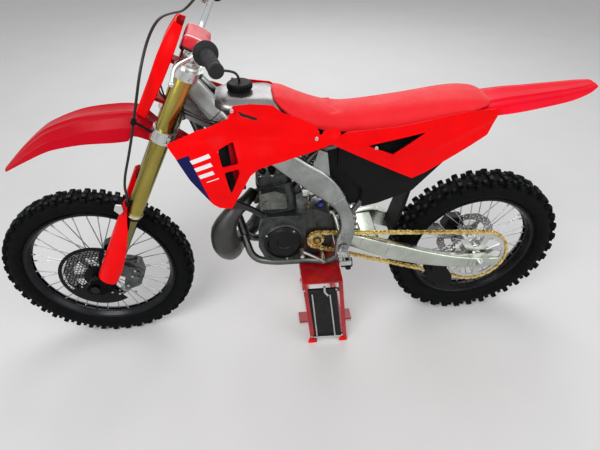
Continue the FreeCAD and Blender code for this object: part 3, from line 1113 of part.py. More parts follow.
# Bar pad, grips and levers
pad_body = shaped("bar_pad_solid", prism([(-60, 950, 12), (18, 950, 12), (18, 994, 16), (-60, 994, 16)], -70, 70), STEER)
keep(less("bar_pad", pad_body, [bar_node, NODES[[n.Label for n in NODES].index("upper_clamp")]]), "bar_pad")
bar_pad = NODES[-1]
grip_parts, lever_parts = [], []
for side in (-1, 1):
    outer_point = Vector(bar_tip[0], side * bar_tip[1], bar_tip[2])
    inner_point = Vector(BAR_BEND[0], side * BAR_BEND[1], BAR_BEND[2])
    along = (inner_point - outer_point).normalize()
    place = STEER.multiply(Placement(outer_point, Rotation(UP, along)))
    grip_parts.append(turned("grip_%d" % (side > 0), [
        (0, -6), (S.grip_radius + 1, -6), (S.grip_radius + 1, 0), (S.grip_radius, 4), (S.grip_radius, S.grip_length - 8),
        (S.grip_flange_radius, S.grip_length - 4), (S.grip_flange_radius, S.grip_length),
        (S.bar_radius + S.seat_gap, S.grip_length), (S.bar_radius + S.seat_gap, -S.seat_gap), (0, -S.seat_gap)], place))
    perch_at = outer_point + along * (S.grip_length + 16)
    perch = cylinder(perch_at, perch_at + along * 24, S.bar_radius + 6)
    pivot = perch_at + along * 12 + Vector(-20, 0, -34)
    perch = perch.fuse(cylinder(perch_at + along * 12, pivot, 9))
    blade = tube([tuple(pivot), tuple(outer_point + along * 84 + Vector(-62, 0, -52)),
                  tuple(outer_point + along * 10 + Vector(-72, 0, -70))], 5)
    perch = perch.fuse(Part.makeSphere(7, outer_point + along * 10 + Vector(-72, 0, -70)))
    perch = perch.fuse(blade)
    if side > 0:
        reservoir = cylinder(perch_at + along * 30 + Vector(-30, 0, -2), perch_at + along * 30 + Vector(-30, 0, 30), 17)
        perch = perch.fuse(reservoir).fuse(cylinder(pivot, perch_at + along * 30 + Vector(-30, 0, 6), 8))
    lever_parts.append(shaped("hand_lever_%d" % (side > 0), perch, STEER))
keep(joined("grips", grip_parts), "grips")
keep(less("hand_levers", joined("hand_levers_solid", lever_parts), [bar_node]), "hand_levers")
hand_levers = NODES[-1]

# Front brake: caliper behind the left leg and the pierced disc guard beside the disc
front_block = shaped("front_caliper_block", prism(
    [(6, 128, 8), (60, 138, 8), (92, 84, 10), (90, 26, 8), (48, -20, 8), (34, 20, 6), (26, 70, 6), (8, 96, 4)], -77, -36), STEER)
front_slot = rod("front_caliper_slot", Vector(-S.axle_offset, -S.disc_offset - slot_half, 0),
                 Vector(-S.axle_offset, -S.disc_offset + slot_half, 0), "$front_disc_radius + 5", STEER)
caliper_ear = shaped("front_caliper_ear", prism([(0, 70, 0), (30, 70, 0), (30, 120, 0), (0, 120, 0)], -96, -66), STEER)
keep(less("front_caliper", joined("front_caliper_solid", [front_block, caliper_ear]), [front_slot, fork_sliders]), "front_caliper")
front_caliper = NODES[-1]
guard_radius = S.front_disc_radius + 17
guard_points = [(0, 0)]
for step in range(0, 13):
    angle = math.radians(96 + step * (328 - 96) / 12)
    guard_points.append((guard_radius * math.cos(angle), guard_radius * math.sin(angle)))
disc_guard = new_body("disc_guard_panel", STEER.multiply(Placement(Vector(-S.axle_offset, -S.disc_offset - 10, 0), Rotation())))
guard_sketch = sketch(disc_guard, "disc_guard_outline", "XZ_Plane", polygon(guard_points))
pad(disc_guard, guard_sketch, "$panel_thickness", "disc_guard_plate", midplane=False)
guard_window = sketch(disc_guard, "disc_guard_window", "XZ_Plane", polygon([(-130, -7), (-52, -4), (-52, 4), (-130, 7)]))
window_cut = disc_guard.newObject("PartDesign::Pocket", "disc_guard_slot")
window_cut.Profile = guard_window
window_cut.Type = 1
window_cut.Midplane = True
window_fan = disc_guard.newObject("PartDesign::PolarPattern", "disc_guard_slots")
window_fan.Originals = [window_cut]
window_fan.Axis = (guard_window, ["N_Axis"])
window_fan.Angle = 130
window_fan.Occurrences = 8
disc_guard.Tip = window_fan
guard_stay = shaped("disc_guard_stay", prism([(-70, 20), (-44, 20), (-34, 80), (-56, 84)], -lug_inner, -S.disc_offset - 10), STEER)
guard_room = rod("disc_guard_room", Vector(-S.axle_offset, -100, 0), Vector(-S.axle_offset, -40, 0),
                 "$front_axle_radius + 5 + $seat_gap", STEER)
keep(less("disc_guard", joined("disc_guard_solid", [disc_guard, guard_stay]), [guard_room, fork_sliders, front_caliper]),
     "disc_guard")

# Hoses and cables
BRAKE_HOSE = [(-44, 225.4, 1050), (-52, 196, 1040), (-76, 150, 985), (-108, 80, 985), (-134, 6, 980), (-142, -56, 938),
              (-134, -112, 868), (-118, -130, 780), (-96, -134, 640), (-82, -132, 500), (-50, -121.3, 440), (-50, -121.3, 330), (-34, -134.5, 240), (-4, -130.6, 190), (28, -108, 176), (42, -62, 168),
              (42, -60, 139)]
keep(shaped("brake_hose", tube(BRAKE_HOSE, S.hose_radius), STEER), "brake_hose")
brake_hose = NODES[-1]

# Every piece is whole before any file is written
os.makedirs("parts", exist_ok=True)
doc.recompute()
for item in doc.Objects:
    if {"Invalid", "Error"} & set(item.State):
        raise RuntimeError("%s is %s" % (item.Label, item.State))
labels = [item.Label for item in NODES]
if len(labels) != len(set(labels)):
    raise RuntimeError("two sub-parts share a label")
for item in NODES:
    if item.Shape.isNull() or not item.Shape.isValid() or not item.Shape.Solids:
        raise RuntimeError("%s has no valid shape" % item.Label)
for item in NODES:
    item.Shape.exportStep("parts/%s.step" % item.Label)
print("wrote", len(NODES), "sub-parts")
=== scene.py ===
"""Looks for a motocross motorcycle held upright on a lift stand.

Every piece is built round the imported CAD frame, in metres, in the CAD's own frame:
+X runs to the rear wheel, +Y to the rider's right, +Z up, and the ground is at Z 0.
Tables of sizes are in millimetres, as in the part's source, and MM turns them into metres.
"""

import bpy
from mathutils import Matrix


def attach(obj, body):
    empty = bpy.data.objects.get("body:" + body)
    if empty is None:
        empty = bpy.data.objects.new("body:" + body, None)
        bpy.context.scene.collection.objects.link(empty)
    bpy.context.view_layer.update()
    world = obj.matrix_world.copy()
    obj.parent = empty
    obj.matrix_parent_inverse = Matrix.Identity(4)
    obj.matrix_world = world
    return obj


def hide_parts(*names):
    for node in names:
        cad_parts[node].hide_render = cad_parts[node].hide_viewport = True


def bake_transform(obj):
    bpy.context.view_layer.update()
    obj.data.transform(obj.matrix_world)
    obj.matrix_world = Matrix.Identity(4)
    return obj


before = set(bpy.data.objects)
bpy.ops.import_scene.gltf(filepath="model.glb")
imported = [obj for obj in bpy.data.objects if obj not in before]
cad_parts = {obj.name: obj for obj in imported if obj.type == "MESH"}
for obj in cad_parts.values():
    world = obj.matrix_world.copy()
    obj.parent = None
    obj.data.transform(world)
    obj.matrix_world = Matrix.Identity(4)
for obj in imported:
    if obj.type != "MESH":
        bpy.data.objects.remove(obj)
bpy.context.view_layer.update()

import math

import bmesh
import bpy
import numpy as np
from mathutils import Matrix, Vector
from mathutils.geometry import delaunay_2d_cdt

bl_info = {
    "name": "Motocross motorcycle on a lift stand",
    "version": (1, 0, 0),
    "blender": (4, 5, 0),
    "location": "3D View > Sidebar > Dirt Bike",
    "description": "Builds the dressed motorcycle round its packed CAD frame",
    "category": "Object",
}

MM = 0.001
TURN = 2 * math.pi

# Places and sizes that several pieces share, millimetres in the bike's own frame
FRONT_AXLE = (-735, 0, 348)
REAR_AXLE = (743, 0, 340)
COUNTERSHAFT = (93, 0, 479)
STEER_FOOT = (-684.258, 0, 322.034)
CASTER = math.radians(27.1)
LEG_BACK = -22
LEG_SPREAD = 102
CHAIN_LINE = 74
CHAIN_PITCH, FRONT_TEETH, REAR_TEETH = 15.875, 13, 49
FRONT_RADIUS, REAR_RADIUS = 348, 340
FRONT_RIM, REAR_RIM, RIM_DEPTH = 276, 252, 23
CYLINDER_LEAN = math.radians(8)
LEFT = (0, -1, 0)

# Camera: where it stands and how it points, radians
CAMERA_PLACE = (-0.1042, -1.3817, 1.6284)
CAMERA_YAW, CAMERA_PITCH, CAMERA_ROLL = 0.1014, 0.6852, 0.0035
CAMERA_LENS, CAMERA_SENSOR = 28.04, 36.0


# Shapes

class Shape:
    """Points of a piece in the bike's own frame, in metres, and its faces as arrays of point numbers."""

    def __init__(self, points, faces):
        self.points = np.asarray(points, float).reshape(-1, 3)
        self.faces = [np.asarray(block, int) for block in faces]

    def moved(self, turn=None, shift=(0, 0, 0)):
        points = self.points if turn is None else self.points @ np.asarray(turn, float).T
        return Shape(points + np.asarray(shift, float), self.faces)

    def flipped(self):
        return Shape(self.points, [block[:, ::-1] for block in self.faces])

    def mirrored(self):
        """The same shape on the other side of the bike, its faces turned to point outwards again."""
        return Shape(self.points * (1, -1, 1), self.flipped().faces)

    def both(self):
        return together([self, self.mirrored()])

    def leaned(self):
        """A shape that is set out in the steering frame, in its place on the bike."""
        return Shape(steered(self.points / MM), self.faces)


def mm(points):
    """Points in millimetres as an array in metres."""
    return np.asarray(points, float) * MM


def polar(angles):
    """Cosine and sine of each angle, as pairs."""
    return np.stack([np.cos(angles), np.sin(angles)], -1)


def squared(angles, share):
    """The same pairs drawn towards a square's corners: each keeps its sign and is raised to the share."""
    pairs = polar(angles)
    return np.sign(pairs) * np.abs(pairs) ** share


def upright(flat, y):
    """Points of the side view as points of space, all at one distance to the rider's right."""
    return np.stack([flat[..., 0], np.broadcast_to(y, flat.shape[:-1]), flat[..., 1]], -1)


def hump(distance, width):
    """1 at no distance, falling off on both sides as a bell curve of the width."""
    return np.exp(-(distance / width) ** 2)


def gate(value, width):
    """From 0 far below nothing to 1 far above it, as an S-shaped curve of the width."""
    return 1 / (1 + np.exp(-value / width))


def together(shapes):
    """Several shapes as one: their points in a row, their faces renumbered."""
    shapes = list(shapes)
    starts = np.cumsum([0] + [len(shape.points) for shape in shapes[:-1]])
    faces = [block + start for shape, start in zip(shapes, starts) for block in shape.faces]
    return Shape(np.vstack([shape.points for shape in shapes]), faces)


def repeated(shape, turns, shifts):
    """Copies of a small shape: each point is turned by a copy's matrix and moved by its shift."""
    turns, shifts = np.asarray(turns, float), np.asarray(shifts, float)
    points = np.einsum("kij,nj->kni", turns, shape.points) + shifts[:, None]
    steps = np.arange(len(turns))[:, None, None] * len(shape.points)
    return Shape(points, [(block[None] + steps).reshape(-1, block.shape[1]) for block in shape.faces])


def grid_faces(rows, columns, wrap_rows, wrap_columns):
    row, column = np.meshgrid(np.arange(rows if wrap_rows else rows - 1),
                              np.arange(columns if wrap_columns else columns - 1), indexing="ij")
    row_on, column_on = (row + 1) % rows, (column + 1) % columns
    corners = [row * columns + column, row * columns + column_on,
               row_on * columns + column_on, row_on * columns + column]
    return np.stack(corners, -1).reshape(-1, 4)


def gridded(points, wrap_rows=False, wrap_columns=False, capped=False):
    """A surface of two parameters: points is a rows by columns grid, joined by quads, with its end rings
    closed by a fan to their middle where it is capped."""
    rows, columns = points.shape[:2]
    faces = [grid_faces(rows, columns, wrap_rows, wrap_columns)]
    flat = points.reshape(-1, 3)
    if capped:
        flat = np.vstack([flat, points[[0, -1]].mean(axis=1)])
        here = np.arange(columns)
        after = (here + 1) % columns
        first, last = np.full(columns, rows * columns), np.full(columns, rows * columns + 1)
        base = (rows - 1) * columns
        faces += [np.stack([first, after, here], 1), np.stack([last, base + here, base + after], 1)]
    return Shape(flat, faces)


def steered(points):
    """Millimetres in the steering frame to metres in the bike's own: turned about Y by the caster, then moved
    to the foot of the steering axis."""
    points = np.asarray(points, float)
    lean, rise = math.sin(CASTER), math.cos(CASTER)
    x, y, z = points[..., 0], points[..., 1], points[..., 2]
    turned = np.stack([x * rise + z * lean, y, z * rise - x * lean], -1)
    return (turned + STEER_FOOT) * MM


def unit(vectors):
    return vectors / np.maximum(np.linalg.norm(vectors, axis=-1, keepdims=True), 1e-12)


def basis(direction, hint=(0, 0, 1)):
    """A turn whose third axis is the direction, and whose first lies square to it and to the hint."""
    ahead = unit(np.asarray(direction, float))
    side = np.cross(np.asarray(hint, float), ahead)
    if np.linalg.norm(side) < 1e-6:
        side = np.cross((1.0, 0.0, 0.0), ahead)
    side = unit(side)
    return np.stack([side, np.cross(ahead, side), ahead], 1)


def parabola(start, pull, end, share):
    """Places from start to end along a parabola that a third point pulls."""
    return (1 - share) ** 2 * start + 2 * share * (1 - share) * pull + share ** 2 * end


def spline(points, per=8):
    """A line that bends smoothly inside its corners: from the middle of one run to the middle of the next,
    each corner pulls it as a parabola."""
    points = np.asarray(points, float)
    middles = (points[1:] + points[:-1]) / 2
    starts = np.vstack([points[:1], middles[1:-1]])
    ends = np.vstack([middles[1:-1], points[-1:]])
    curve = parabola(starts, points[1:-1], ends, np.linspace(0, 1, per, endpoint=False)[:, None, None])
    return np.vstack([curve.transpose(1, 0, 2).reshape(-1, points.shape[1]), points[-1:]])


def through(rows, per=6):
    """A line through every row of a table: a cubic between neighbours, whose slope at each is half the step
    from the row before to the row after."""
    rows = np.asarray(rows, float)
    slopes = np.gradient(rows, axis=0)
    t = np.linspace(0, 1, per, endpoint=False).reshape(-1, 1, *([1] * (rows.ndim - 1)))
    a, b, c, d = rows[:-1], slopes[:-1], rows[1:], slopes[1:]
    curve = ((2 * t ** 3 - 3 * t ** 2 + 1) * a + (t ** 3 - 2 * t ** 2 + t) * b
             + (3 * t ** 2 - 2 * t ** 3) * c + (t ** 3 - t ** 2) * d)
    return np.concatenate([np.swapaxes(curve, 0, 1).reshape(-1, *rows.shape[1:]), rows[-1:]])


def closed_ring(corners, per=4):
    """A smooth closed ring inside a ring of corners, the last axis but one: a parabola round each corner,
    from the middle of one side to the middle of the next."""
    before = (corners + np.roll(corners, 1, axis=-2)) / 2
    after = (corners + np.roll(corners, -1, axis=-2)) / 2
    share = np.linspace(0, 1, per, endpoint=False)[:, None]
    ring = parabola(before[..., None, :], corners[..., None, :], after[..., None, :], share)
    return ring.reshape(*corners.shape[:-2], -1, corners.shape[-1])


def swept(line, section, capped=True):
    """A section carried along a line of points. It turns with the line as little as it can: at each step the
    side direction loses only what has come to lie along the line."""
    ahead = unit(np.gradient(line, axis=0))
    sides = np.empty_like(line)
    start = np.cross((0.0, 1.0, 0.0), ahead[0])
    side = unit(start if np.linalg.norm(start) > 0.1 else np.cross((0.0, 0.0, 1.0), ahead[0]))
    for index, direction in enumerate(ahead):
        side = unit(side - (side @ direction) * direction)
        sides[index] = side
    over = np.cross(ahead, sides)
    section = np.broadcast_to(section, (len(line),) + np.shape(section)[-2:])
    points = line[:, None] + section[..., :1] * sides[:, None] + section[..., 1:] * over[:, None]
    return gridded(points, wrap_columns=True, capped=capped)


def circle(sides=16):
    return polar(np.linspace(0, TURN, sides, endpoint=False))


def round_tube(line, radius, sides=16):
    """A round bar or hose along a line, metres. The radius may change from point to point."""
    radius = np.broadcast_to(radius, len(line))[:, None, None]
    return swept(line, circle(sides) * radius)


def rod(points, radius, sides=12):
    """A round bar with sharp bends through points, all in millimetres."""
    return round_tube(mm(points), radius * MM, sides)


def hose(route, radius, sides=14, per=10):
    """A round hose that bends smoothly inside the corners of its route, all in millimetres."""
    return round_tube(spline(mm(route), per), radius * MM, sides)


def lathe(profile, steps=64, wrap=True):
    """A profile of (radius, height) turned about Z: the point at angle a is radius times (cos a, sin a)."""
    radius, height = np.asarray(profile, float).T
    x, y = circle(steps).T[..., None] * radius
    return gridded(np.stack([x, y, np.broadcast_to(height, x.shape)], -1), wrap_rows=True, wrap_columns=wrap)


def turned_at(profile, centre, direction=LEFT, steps=64):
    """A lathe piece of closed (radius, height) millimetres, its axis set at a centre along a direction."""
    return lathe(mm(profile), steps).moved(basis(direction), mm(centre))


def rounded_outline(corners, steps=5):
    """A closed outline of (x, z, corner radius) with each corner a parabola between the arc's ends."""
    corners = np.asarray([tuple(c) + (0,) * (3 - len(c)) for c in corners], float)
    flat, radius = corners[:, :2], corners[:, 2]
    back, on = np.roll(flat, 1, axis=0) - flat, np.roll(flat, -1, axis=0) - flat
    shorter = np.minimum(np.linalg.norm(back, axis=1), np.linalg.norm(on, axis=1))
    back, on = unit(back), unit(on)
    half = np.arccos(np.clip(np.sum(back * on, axis=1), -1, 1)) / 2
    setback = np.minimum(radius / np.tan(np.clip(half, 0.05, 1.55)), 0.45 * shorter)[:, None]
    start, end = flat + back * setback, flat + on * setback
    arcs = parabola(start[:, None], flat[:, None], end[:, None], np.linspace(0, 1, steps)[:, None])
    return np.concatenate([arc if reach > 1e-6 else arc[:1] for arc, reach in zip(arcs, setback)])


def spaced(outline, spacing):
    """A closed outline with further points on its sides, no more than the spacing apart."""
    following = np.roll(outline, -1, axis=0)
    counts = np.maximum(1, np.ceil(np.linalg.norm(following - outline, axis=1) / spacing)).astype(int)
    share = np.concatenate([np.arange(count) / count for count in counts])[:, None]
    return np.repeat(outline, counts, axis=0) * (1 - share) + np.repeat(following, counts, axis=0) * share


def inside(points, outline):
    """Which points lie inside a closed outline: a ray to the right crosses it an odd number of times."""
    x, y = points[:, :1], points[:, 1:]
    a, b = outline, np.roll(outline, -1, axis=0)
    straddles = (a[:, 1] > y) != (b[:, 1] > y)
    rise = np.where(np.abs(b[:, 1] - a[:, 1]) < 1e-12, 1e-12, b[:, 1] - a[:, 1])
    crossing = a[:, 0] + (y - a[:, 1]) * (b[:, 0] - a[:, 0]) / rise
    return (np.sum(straddles & (x < crossing), axis=1) % 2).astype(bool)


def within(points, rings):
    """Which points lie inside the first ring and outside all others."""
    return inside(points, rings[0]) & ~np.any([inside(points, ring) for ring in rings[1:]] or [False], axis=0)


def trimmed(outline, holes=(), spacing=8.0):
    """A flat grid trimmed to an outline and its holes: the grid's points that lie inside, the outline's own
    points, and the triangles between them. Returns (x, z) millimetres and triangles that turn left."""
    rings = [spaced(np.asarray(ring, float), spacing) for ring in (outline, *holes)]
    low, high = rings[0].min(axis=0), rings[0].max(axis=0)
    u, v = np.meshgrid(np.arange(low[0], high[0], spacing), np.arange(low[1], high[1], spacing * 0.87))
    u = u + (np.arange(len(u)) % 2)[:, None] * spacing / 2
    inner = np.stack([u.ravel(), v.ravel()], 1)
    inner = inner[within(inner, rings)]
    edge = np.vstack(rings)
    inner = inner[np.linalg.norm(inner[:, None] - edge, axis=2).min(axis=1) > spacing * 0.55]
    starts = np.cumsum([0] + [len(ring) for ring in rings])
    edges = [(start + k, start + (k + 1) % len(ring))
             for start, ring in zip(starts, rings) for k in range(len(ring))]
    joined = delaunay_2d_cdt([Vector(p) for p in np.vstack([edge, inner]).tolist()], edges, [], 0, 1e-5)
    flat = np.array([tuple(p) for p in joined[0]])
    faces = np.array([face for face in joined[2] if len(face) == 3])
    faces = faces[within(flat[faces].mean(axis=1), rings)]
    a, b, c = (flat[faces[:, k]] for k in range(3))
    turns = (b[:, 0] - a[:, 0]) * (c[:, 1] - a[:, 1]) - (b[:, 1] - a[:, 1]) * (c[:, 0] - a[:, 0])
    faces = np.where((turns < 0)[:, None], faces[:, ::-1], faces)
    used, numbers = np.unique(faces, return_inverse=True)
    return flat[used], numbers.reshape(-1, 3)


def point_normals(shape):
    """The average direction of the faces round each point."""
    total = np.zeros_like(shape.points)
    for block in shape.faces:
        corner = shape.points[block]
        across = np.cross(corner[:, 1] - corner[:, 0], corner[:, -1] - corner[:, 0])
        if block.shape[1] == 4:
            across += np.cross(corner[:, 3] - corner[:, 2], corner[:, 1] - corner[:, 2])
        for k in range(block.shape[1]):
            np.add.at(total, block[:, k], across)
    return unit(total)


def facing(sheet, direction):
    """An open sheet with its faces turned so that its middle looks along the direction."""
    return sheet.flipped() if point_normals(sheet)[len(sheet.points) // 2] @ direction < 0 else sheet


def thickened(shape, thickness):
    """An open sheet made a closed wall: its points again, moved in by the thickness along their normals, and
    a rim of quads along every free edge."""
    count = len(shape.points)
    normals = point_normals(shape)
    amount = np.broadcast_to(thickness, count)[:, None]
    pairs = [np.stack([block, np.roll(block, -1, axis=1)], -1) for block in shape.faces]
    edges = np.concatenate([pair.reshape(-1, 2) for pair in pairs])
    keys = edges.min(axis=1) * count + edges.max(axis=1)
    _, first, seen = np.unique(keys, return_index=True, return_counts=True)
    free = edges[first[seen == 1]]
    rim = np.stack([free[:, 1], free[:, 0], free[:, 0] + count, free[:, 1] + count], 1)
    faces = shape.faces + [block[:, ::-1] + count for block in shape.faces] + [rim]
    return Shape(np.vstack([shape.points, shape.points - normals * amount]), faces)


def prism(outline, low, high):
    """A flat side-view outline of (x, z, corner radius) millimetres carried straight across from low to
    high."""
    flat, faces = trimmed(rounded_outline(outline), spacing=40.0)
    wall = thickened(Shape(mm(upright(flat, low)), [faces]), 0.0)
    wall.points[len(flat):, 1] = high * MM
    return wall


def box(low, high, rounding=0.0):
    """A plate or block between two corners, in millimetres."""
    (left, _, foot), (right, _, top) = low, high
    corners = [(x, z, rounding) for x, z in ((left, foot), (right, foot), (right, top), (left, top))]
    return prism(corners, low[1], high[1])


def hex_head(radius, height, sides=6):
    """A bolt head with a chamfered top: rings of corners, from the seat up to the middle of its face."""
    rings = [(0, 0), (radius, 0), (radius, height * 0.8), (radius * 0.86, height), (0, height)]
    return lathe(mm(rings), sides, wrap=False)


def cap_screw(radius, height):
    """A socket-head screw: a round head with a rounded edge and a sunk socket."""
    rings = [(0, 0), (radius, 0), (radius, height * 0.75), (radius * 0.88, height), (radius * 0.52, height),
             (radius * 0.48, height * 0.45), (0, height * 0.45)]
    return lathe(mm(rings), 14, wrap=False)


def screws(places, direction, radius, height, kind=cap_screw):
    """The same screw at several places, millimetres, all pointing one way."""
    return repeated(kind(radius, height), [basis(direction)] * len(places), mm(places))


def around(centre, radius, count, start=0.0, y=0.0):
    """Places spaced evenly on a circle seen from the side."""
    flat = polar(start + np.linspace(0, TURN, count, endpoint=False)) * radius
    return upright(flat + (centre[0], centre[2]), y)


# Finishes

class Field:
    """A value that varies over a surface: one output of a shader node. Fields and numbers add up, take away
    and multiply, each time through one more node."""

    def __init__(self, tree, socket):
        self.tree, self.socket = tree, socket

    def math(self, operation, other=0.0):
        return made(self.tree, "Math", {"operation": operation}, {0: self, 1: other})

    def __add__(self, other):
        return self.math("ADD", other)

    def __sub__(self, other):
        return self.math("SUBTRACT", other)

    def __mul__(self, other):
        return self.math("MULTIPLY", other)


def wire(tree, node, inputs):
    """Links or sets a node's inputs, by name or by number."""
    for name, value in inputs.items():
        if isinstance(value, Field):
            tree.links.new(value.socket, node.inputs[name])
        else:
            node.inputs[name].default_value = value
    return node


def step(tree, kind, settings=(), inputs=()):
    """Adds a shader node, sets its properties, and links or sets its inputs."""
    node = tree.nodes.new("ShaderNode" + kind)
    for name, value in dict(settings).items():
        setattr(node, name, value)
    return wire(tree, node, dict(inputs))


def made(tree, kind, settings=(), inputs=(), output=0):
    """One output of a new shader node, by name or by number."""
    return Field(tree, step(tree, kind, settings, inputs).outputs[output])


def linear(red, green, blue):
    """A screen colour of 0 to 255 as the linear colour that nodes take."""
    share = np.array([red, green, blue]) / 255
    light = np.where(share <= 0.04045, share / 12.92, ((share + 0.055) / 1.055) ** 2.4)
    return (*light.tolist(), 1.0)


def blank_finish(name):
    """A material with only a shader and its output."""
    material = bpy.data.materials.new(name)
    material.use_nodes = True
    tree = material.node_tree
    tree.nodes.clear()
    shader = step(tree, "BsdfPrincipled")
    step(tree, "OutputMaterial", {}, {0: Field(tree, shader.outputs[0])})
    return material, tree, shader


def ramped(value, low, high, to_low=0.0, to_high=1.0):
    """Maps a field from one range to another, held at its ends."""
    return made(value.tree, "MapRange", {"clamp": True}, {
        "Value": value, "From Min": low, "From Max": high, "To Min": to_low, "To Max": to_high})


def mixed(share, first, second):
    """Two colours mixed by a share."""
    return made(share.tree, "Mix", {"data_type": "RGBA"}, {0: share, 6: first, 7: second}, 2)


def speckle(place, scale, detail=3.0, roughness=0.5):
    """Cloudy noise from 0 to 1."""
    return made(place.tree, "TexNoise", {}, {
        "Vector": place, "Scale": scale, "Detail": detail, "Roughness": roughness})


def raised(tree, height, distance, strength, base=None):
    """Normals of a surface that stands out by a height, over those of another relief."""
    return made(tree, "Bump", {}, {"Height": height, "Distance": distance, "Strength": strength,
                                   **({"Normal": base} if base else {})})


def object_place(tree, stretch=(1, 1, 1)):
    """Object coordinates, stretched so that grain can run one way."""
    return made(tree, "Mapping", {}, {"Vector": made(tree, "TexCoord", output="Object"), "Scale": stretch})


def object_axes(tree):
    """Object coordinates, one field for each axis."""
    apart = step(tree, "SeparateXYZ", {}, {"Vector": made(tree, "TexCoord", output="Object")})
    return [Field(tree, socket) for socket in apart.outputs]


def plain_finish(name, colour, roughness, metallic=0.0, second=None, patch=18.0, patch_low=0.4,
                 patch_high=0.7, grain=700.0, grain_height=0.00012, spread=0.08, stretch=(1, 1, 1), coat=0.0,
                 soft_edge=0.0, specular=0.5, anisotropy=0.0, ripple=0.0, ripple_height=0.0):
    """A finish in broad patches of two colours, with fine grain in its height and its gloss. A soft edge
    rounds what the CAD leaves sharp, ripple adds slow waves of a moulded or cast wall."""
    material, tree, shader = blank_finish(name)
    even = object_place(tree)
    fine = speckle(object_place(tree, stretch), grain, 2.0)
    patches = ramped(speckle(even, patch, 4.0, 0.6), patch_low, patch_high)
    gloss = speckle(even, patch * 3.3, 3.0, 0.6) * 1.4 + fine * 0.6
    least, most = max(0.02, roughness - spread), min(1.0, roughness + spread)
    base = made(tree, "Bevel", {"samples": 4}, {"Radius": soft_edge}) if soft_edge else None
    if ripple_height:
        base = raised(tree, speckle(even, ripple, 1.0), ripple_height, 1.0, base)
    wire(tree, shader, {
        "Base Color": mixed(patches, colour, second or colour), "Metallic": metallic,
        "Roughness": ramped(gloss, 0.6, 1.4, least, most),
        "Normal": raised(tree, fine, grain_height, 0.8, base), "Coat Weight": coat, "Coat Roughness": 0.08,
        "Specular IOR Level": specular, "Anisotropic": anisotropy})
    return material


def band_mask(value, low, high, soft=0.0004):
    """1 between two values and 0 outside them, with a soft edge."""
    return ramped(value, low - soft, low + soft) * ramped(value, high - soft, high + soft, 1.0, 0.0)


def paint_over(material, mask, colour):
    """Lays another colour over a finish where the mask is 1."""
    tree = material.node_tree
    shader = next(item for item in tree.nodes if item.bl_idname == "ShaderNodeBsdfPrincipled")
    below = Field(tree, shader.inputs["Base Color"].links[0].from_socket)
    wire(tree, shader, {"Base Color": mixed(mask, below, colour)})


RED = linear(248, 1, 6)
WHITE = linear(232, 232, 236)
NAVY = linear(24, 26, 78)


def red_plastic(name="red_plastic", colour=RED, gloss=0.08):
    second = tuple(0.88 * c for c in colour[:3]) + (1.0,)
    return plain_finish(name, colour, 0.34, second=second, patch=9.0, grain=1400.0, grain_height=0.00004,
                        spread=0.07, specular=gloss, ripple=14.0, ripple_height=0.0006)


def shroud_plastic():
    """Red plastic with a plain film on its front corner: a dark blue wedge along the edge and three slanted
    white bars and a thin line behind it, all bands along two slanted directions of the side view."""
    material = red_plastic("shroud_plastic")
    x, _, z = object_axes(material.node_tree)
    back = (x + 0.339) * 0.899 + (z - 0.945) * 0.437
    height = z - x * 0.25
    wedge = ramped(back - (height - 0.840) * 0.19, -0.0004, 0.0004, 1.0, 0.0)
    paint_over(material, band_mask(height, 0.846, 1.022) * wedge, NAVY)
    for low, high, start, end in ((0.992, 1.005, 0.028, 0.082), (0.965, 0.978, 0.025, 0.073),
                                  (0.938, 0.951, 0.022, 0.064), (0.918, 0.921, 0.030, 0.066)):
        paint_over(material, band_mask(height, low, high) * band_mask(back, start, end), WHITE)
    return material


def seat_cover_finish():
    """Gripper vinyl: raised pebbles about a millimetre and a half across, worn a little paler in patches."""
    material, tree, shader = blank_finish("seat_vinyl")
    place = object_place(tree)
    worn = ramped(speckle(place, 7.0, 4.0, 0.6), 0.35, 0.75)
    pebbles = made(tree, "TexVoronoi", {"feature": "SMOOTH_F1"},
                   {"Vector": place, "Scale": 560.0, "Smoothness": 0.4})
    creases = speckle(place, 30.0, 5.0, 0.65)
    relief = raised(tree, pebbles, -0.00035, 0.9, raised(tree, creases, 0.0012, 0.5))
    wire(tree, shader, {
        "Base Color": mixed(worn, linear(236, 18, 30), linear(246, 36, 46)), "Normal": relief,
        "Roughness": ramped(creases, 0.3, 0.7, 0.48, 0.62), "Sheen Weight": 0.08, "Sheen Roughness": 0.5,
        "Specular IOR Level": 0.25})
    return material


def steering_axes(tree):
    """How far back of the steering axis a point lies, and how far up along it, in metres."""
    lean, rise = math.sin(CASTER), math.cos(CASTER)
    x, _, z = object_axes(tree)
    x, z = x - STEER_FOOT[0] * MM, z - STEER_FOOT[2] * MM
    return x * rise - z * lean, x * lean + z * rise


def pad_cover_finish():
    """Smooth coated cloth of the bar pad: red above, a pale band at each end, and black below, painted shade
    on its underside.
    """
    material = plain_finish("pad_cloth", linear(214, 22, 44), 0.42, second=linear(196, 14, 36), patch=22.0,
                            grain=1500.0, grain_height=0.0001)
    tree = material.node_tree
    _, y, _ = object_axes(tree)
    paint_over(material, band_mask(y.math("ABSOLUTE"), 0.052, 0.058), linear(225, 215, 220))
    # Painted shade: black on the pad's lower part.
    paint_over(material, ramped(steering_axes(tree)[1], 0.9615, 0.9625, 1.0, 0.0), linear(28, 28, 31))
    return material


